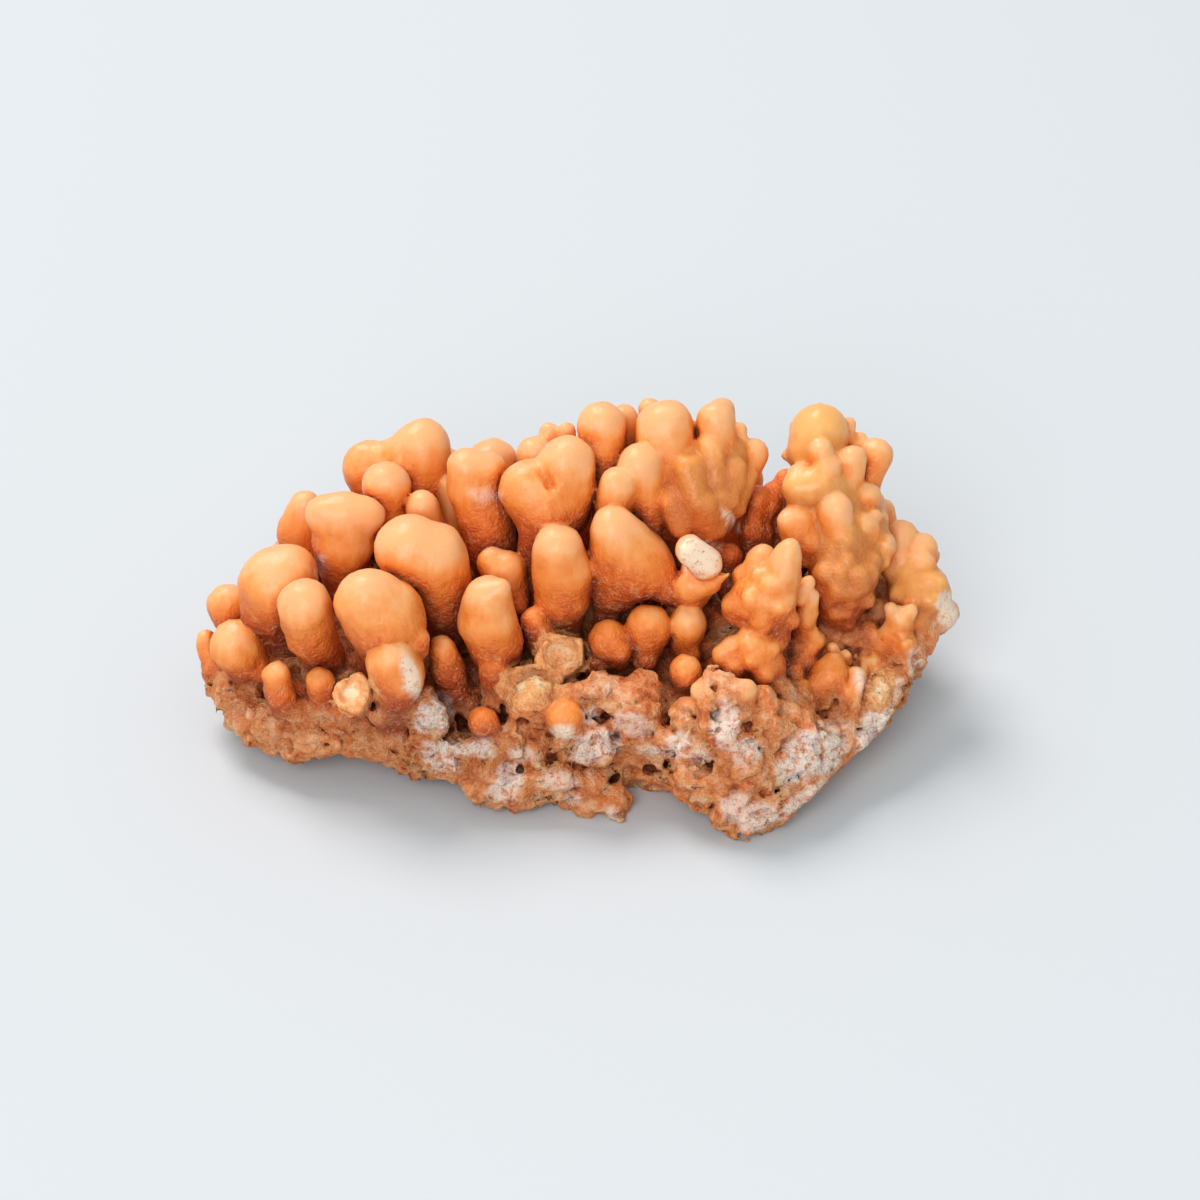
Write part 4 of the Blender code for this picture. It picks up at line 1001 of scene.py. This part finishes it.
    # painted shade: the crust is darker where it is closed in, in its hollows
    tint = math('SUBTRACT', tint, math('MULTIPLY', math('MAXIMUM', math('SUBTRACT', hollow, 0.44), -0.03), 0.9))
    stone = ramp(tint, [(0.29, (0.15, 0.026, 0.006)), (0.39, (0.47, 0.098, 0.020)), (0.47, (0.69, 0.195, 0.050)),
                        (0.56, (0.81, 0.32, 0.125)), (0.70, (0.92, 0.58, 0.36))])
    base = mix(crusty, finger, stone)
    # powdery white with brown specks
    chalk = mix(smooth(dust, 0.32, 0.44), (0.60, 0.26, 0.12), (0.98, 0.76, 0.65))
    base = mix(math('MULTIPLY', white, smooth(fine, 0.33, 0.50, 0.15, 0.96)), base, chalk)
    pale = mix(smooth(dust, 0.34, 0.46), (0.66, 0.34, 0.19), (0.92, 0.70, 0.52))
    base = mix(cream, base, pale)
    # painted shade: crevices between the fingers and pits in the crust are darkened to deep red brown where they are
    # closed in
    pit = math('MAXIMUM', smooth(hollow, 0.50, 0.76), smooth(deep, 0.44, 0.78))
    base = mix(math('MULTIPLY', pit, 0.80), base, (0.15, 0.026, 0.006))
    rim = mix(smooth(dust, 0.40, 0.60), (0.84, 0.31, 0.095), (0.95, 0.46, 0.19))
    core = mix(smooth(fine, 0.42, 0.58), (0.95, 0.46, 0.17), (1.0, 0.76, 0.46))
    shard = mix(smooth(amber, 0.50, 0.90), rim, core)
    base = mix(math('MULTIPLY', smooth(amber, 0.05, 0.25), 0.95), base, shard)
    links.new(base, shader.inputs["Base Color"])
    # waxy fingers, dull crust
    gloss = math('ADD', smooth(crusty, 0.0, 1.0, 0.40, 0.56), math('MULTIPLY', math('SUBTRACT', speck, 0.5), 0.30))
    gloss = math('SUBTRACT', gloss, math('MULTIPLY', smooth(speck, 0.56, 0.66), math('MULTIPLY', mottle, 0.22)))
    gloss = math('SUBTRACT', gloss, math('MULTIPLY', smooth(amber, 0.05, 0.25), 0.25))
    gloss = math('SUBTRACT', gloss, math('MULTIPLY', tower, 0.07))
    gloss = math('ADD', gloss, math('MULTIPLY', white, 0.15), clamp=True)
    links.new(gloss, shader.inputs["Roughness"])
    shader.inputs["Subsurface Weight"].default_value = 0.40
    shader.inputs["Subsurface Radius"].default_value = (1.0, 0.38, 0.14)
    shader.inputs["Subsurface Scale"].default_value = 0.0028
    shader.inputs["IOR"].default_value = 1.49
    shader.inputs["Specular IOR Level"].default_value = 0.40
    shader.inputs["Coat Weight"].default_value = 0.04
    shader.inputs["Coat Roughness"].default_value = 0.22
    # grain: faint on the tips, sugary lower down, coarse on the crust
    sugar = math('ADD', smooth(reach, 0.10, 0.70, 0.10, 0.9), math('MULTIPLY', crusty, 0.9))
    sugar = math('MULTIPLY', sugar, math('SUBTRACT', 1.0, math('MULTIPLY', tower, 0.45)))
    height = math('ADD', math('MULTIPLY', fine, 0.9), math('MULTIPLY', speck, 0.5))
    bump = nodes.new("ShaderNodeBump")
    bump.inputs["Distance"].default_value = 0.0012
    links.new(sugar, bump.inputs["Strength"])
    links.new(height, bump.inputs["Height"])
    links.new(bump.outputs["Normal"], shader.inputs["Normal"])
    return mat


def floor_material():
    mat = bpy.data.materials.new("pale_floor")
    mat.use_nodes = True
    shader = mat.node_tree.nodes["Principled BSDF"]
    shader.inputs["Base Color"].default_value = (0.61, 0.633, 0.655, 1)
    shader.inputs["Roughness"].default_value = 0.9
    shader.inputs["Specular IOR Level"].default_value = 0.1
    return mat


# ---------------------------------------------------------------- the specimen
field, fingers, crust = build_field()
points, quads = surface(field.d, field.low, field.cell)
points, quads = largest_skin(points, quads)
world = (points - np.array(ORIGIN)) * MM
mesh = make_mesh("calcite_fine", world, quads)
piece = bpy.data.objects.new("calcite_fine", mesh)
bpy.context.scene.collection.objects.link(piece)
thin = piece.modifiers.new("thin", 'DECIMATE')
thin.ratio = min(1.0, TRIANGLES / (2.0 * len(quads)))
done = bpy.data.meshes.new_from_object(piece.evaluated_get(bpy.context.evaluated_depsgraph_get()))
piece.modifiers.clear()
piece.data = done
mesh = done
co = np.zeros(len(mesh.vertices) * 3, np.float32)
mesh.vertices.foreach_get("co", co)
no = np.zeros(len(mesh.vertices) * 3, np.float32)
mesh.vertices.foreach_get("normal", no)
co = co.reshape(-1, 3).astype(float) / MM + np.array(ORIGIN)
for name, values in vertex_values(co, no.reshape(-1, 3).astype(float), field, fingers, crust).items():
    fill_attribute(mesh, name, values)
mesh.shade_smooth()
mesh.materials.clear()
mesh.materials.append(calcite())
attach(piece, "root")
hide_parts("calcite_specimen")

# ---------------------------------------------------------------- floor, light, camera
bpy.ops.mesh.primitive_plane_add(size=6.0, location=(0, 0, 0))
floor = bpy.context.object
floor.name = "floor"
floor.data.materials.append(floor_material())

world = bpy.data.worlds.new("studio")
world.use_nodes = True
world.node_tree.nodes["Background"].inputs["Color"].default_value = (0.86, 0.98, 1.0, 1)
world.node_tree.nodes["Background"].inputs["Strength"].default_value = 0.53
bpy.context.scene.world = world


def area(name, place, aim, size, power, colour=(1, 1, 1)):
    light = bpy.data.lights.new(name, 'AREA')
    light.shape = 'DISK'
    light.size = size
    light.energy = power
    light.color = colour
    obj = bpy.data.objects.new(name, light)
    obj.location = place
    obj.rotation_mode = 'QUATERNION'
    obj.rotation_quaternion = (Vector(aim) - Vector(place)).to_track_quat('-Z', 'Y')
    bpy.context.scene.collection.objects.link(obj)


area("key", (-0.72, 0.86, 1.85), (0, 0, 0.02), 1.15, 32.4, (1.0, 0.93, 0.915))
area("fill", (-0.40, -1.60, 1.20), (0, 0, 0.02), 1.28, 22.5)

camera_data = bpy.data.cameras.new("camera")
camera_data.sensor_width = 36.0
camera_data.lens = 36.0 * SIGHT_DISTANCE * SIGHT_SCALE / 1200.0
camera_data.clip_start, camera_data.clip_end = 0.01, 20.0
camera = bpy.data.objects.new("camera", camera_data)
aim = (Vector(AIM) - Vector(ORIGIN)) * MM
back = Vector((0, -cos(SIGHT_ELEVATION), sin(SIGHT_ELEVATION)))
camera.location = aim + back * SIGHT_DISTANCE * MM
camera.rotation_mode = 'QUATERNION'
camera.rotation_quaternion = (-back).to_track_quat('-Z', 'Y')
bpy.context.scene.collection.objects.link(camera)
bpy.context.scene.camera = camera
bpy.context.scene.view_settings.view_transform = 'Standard'

mesh.calc_loop_triangles()
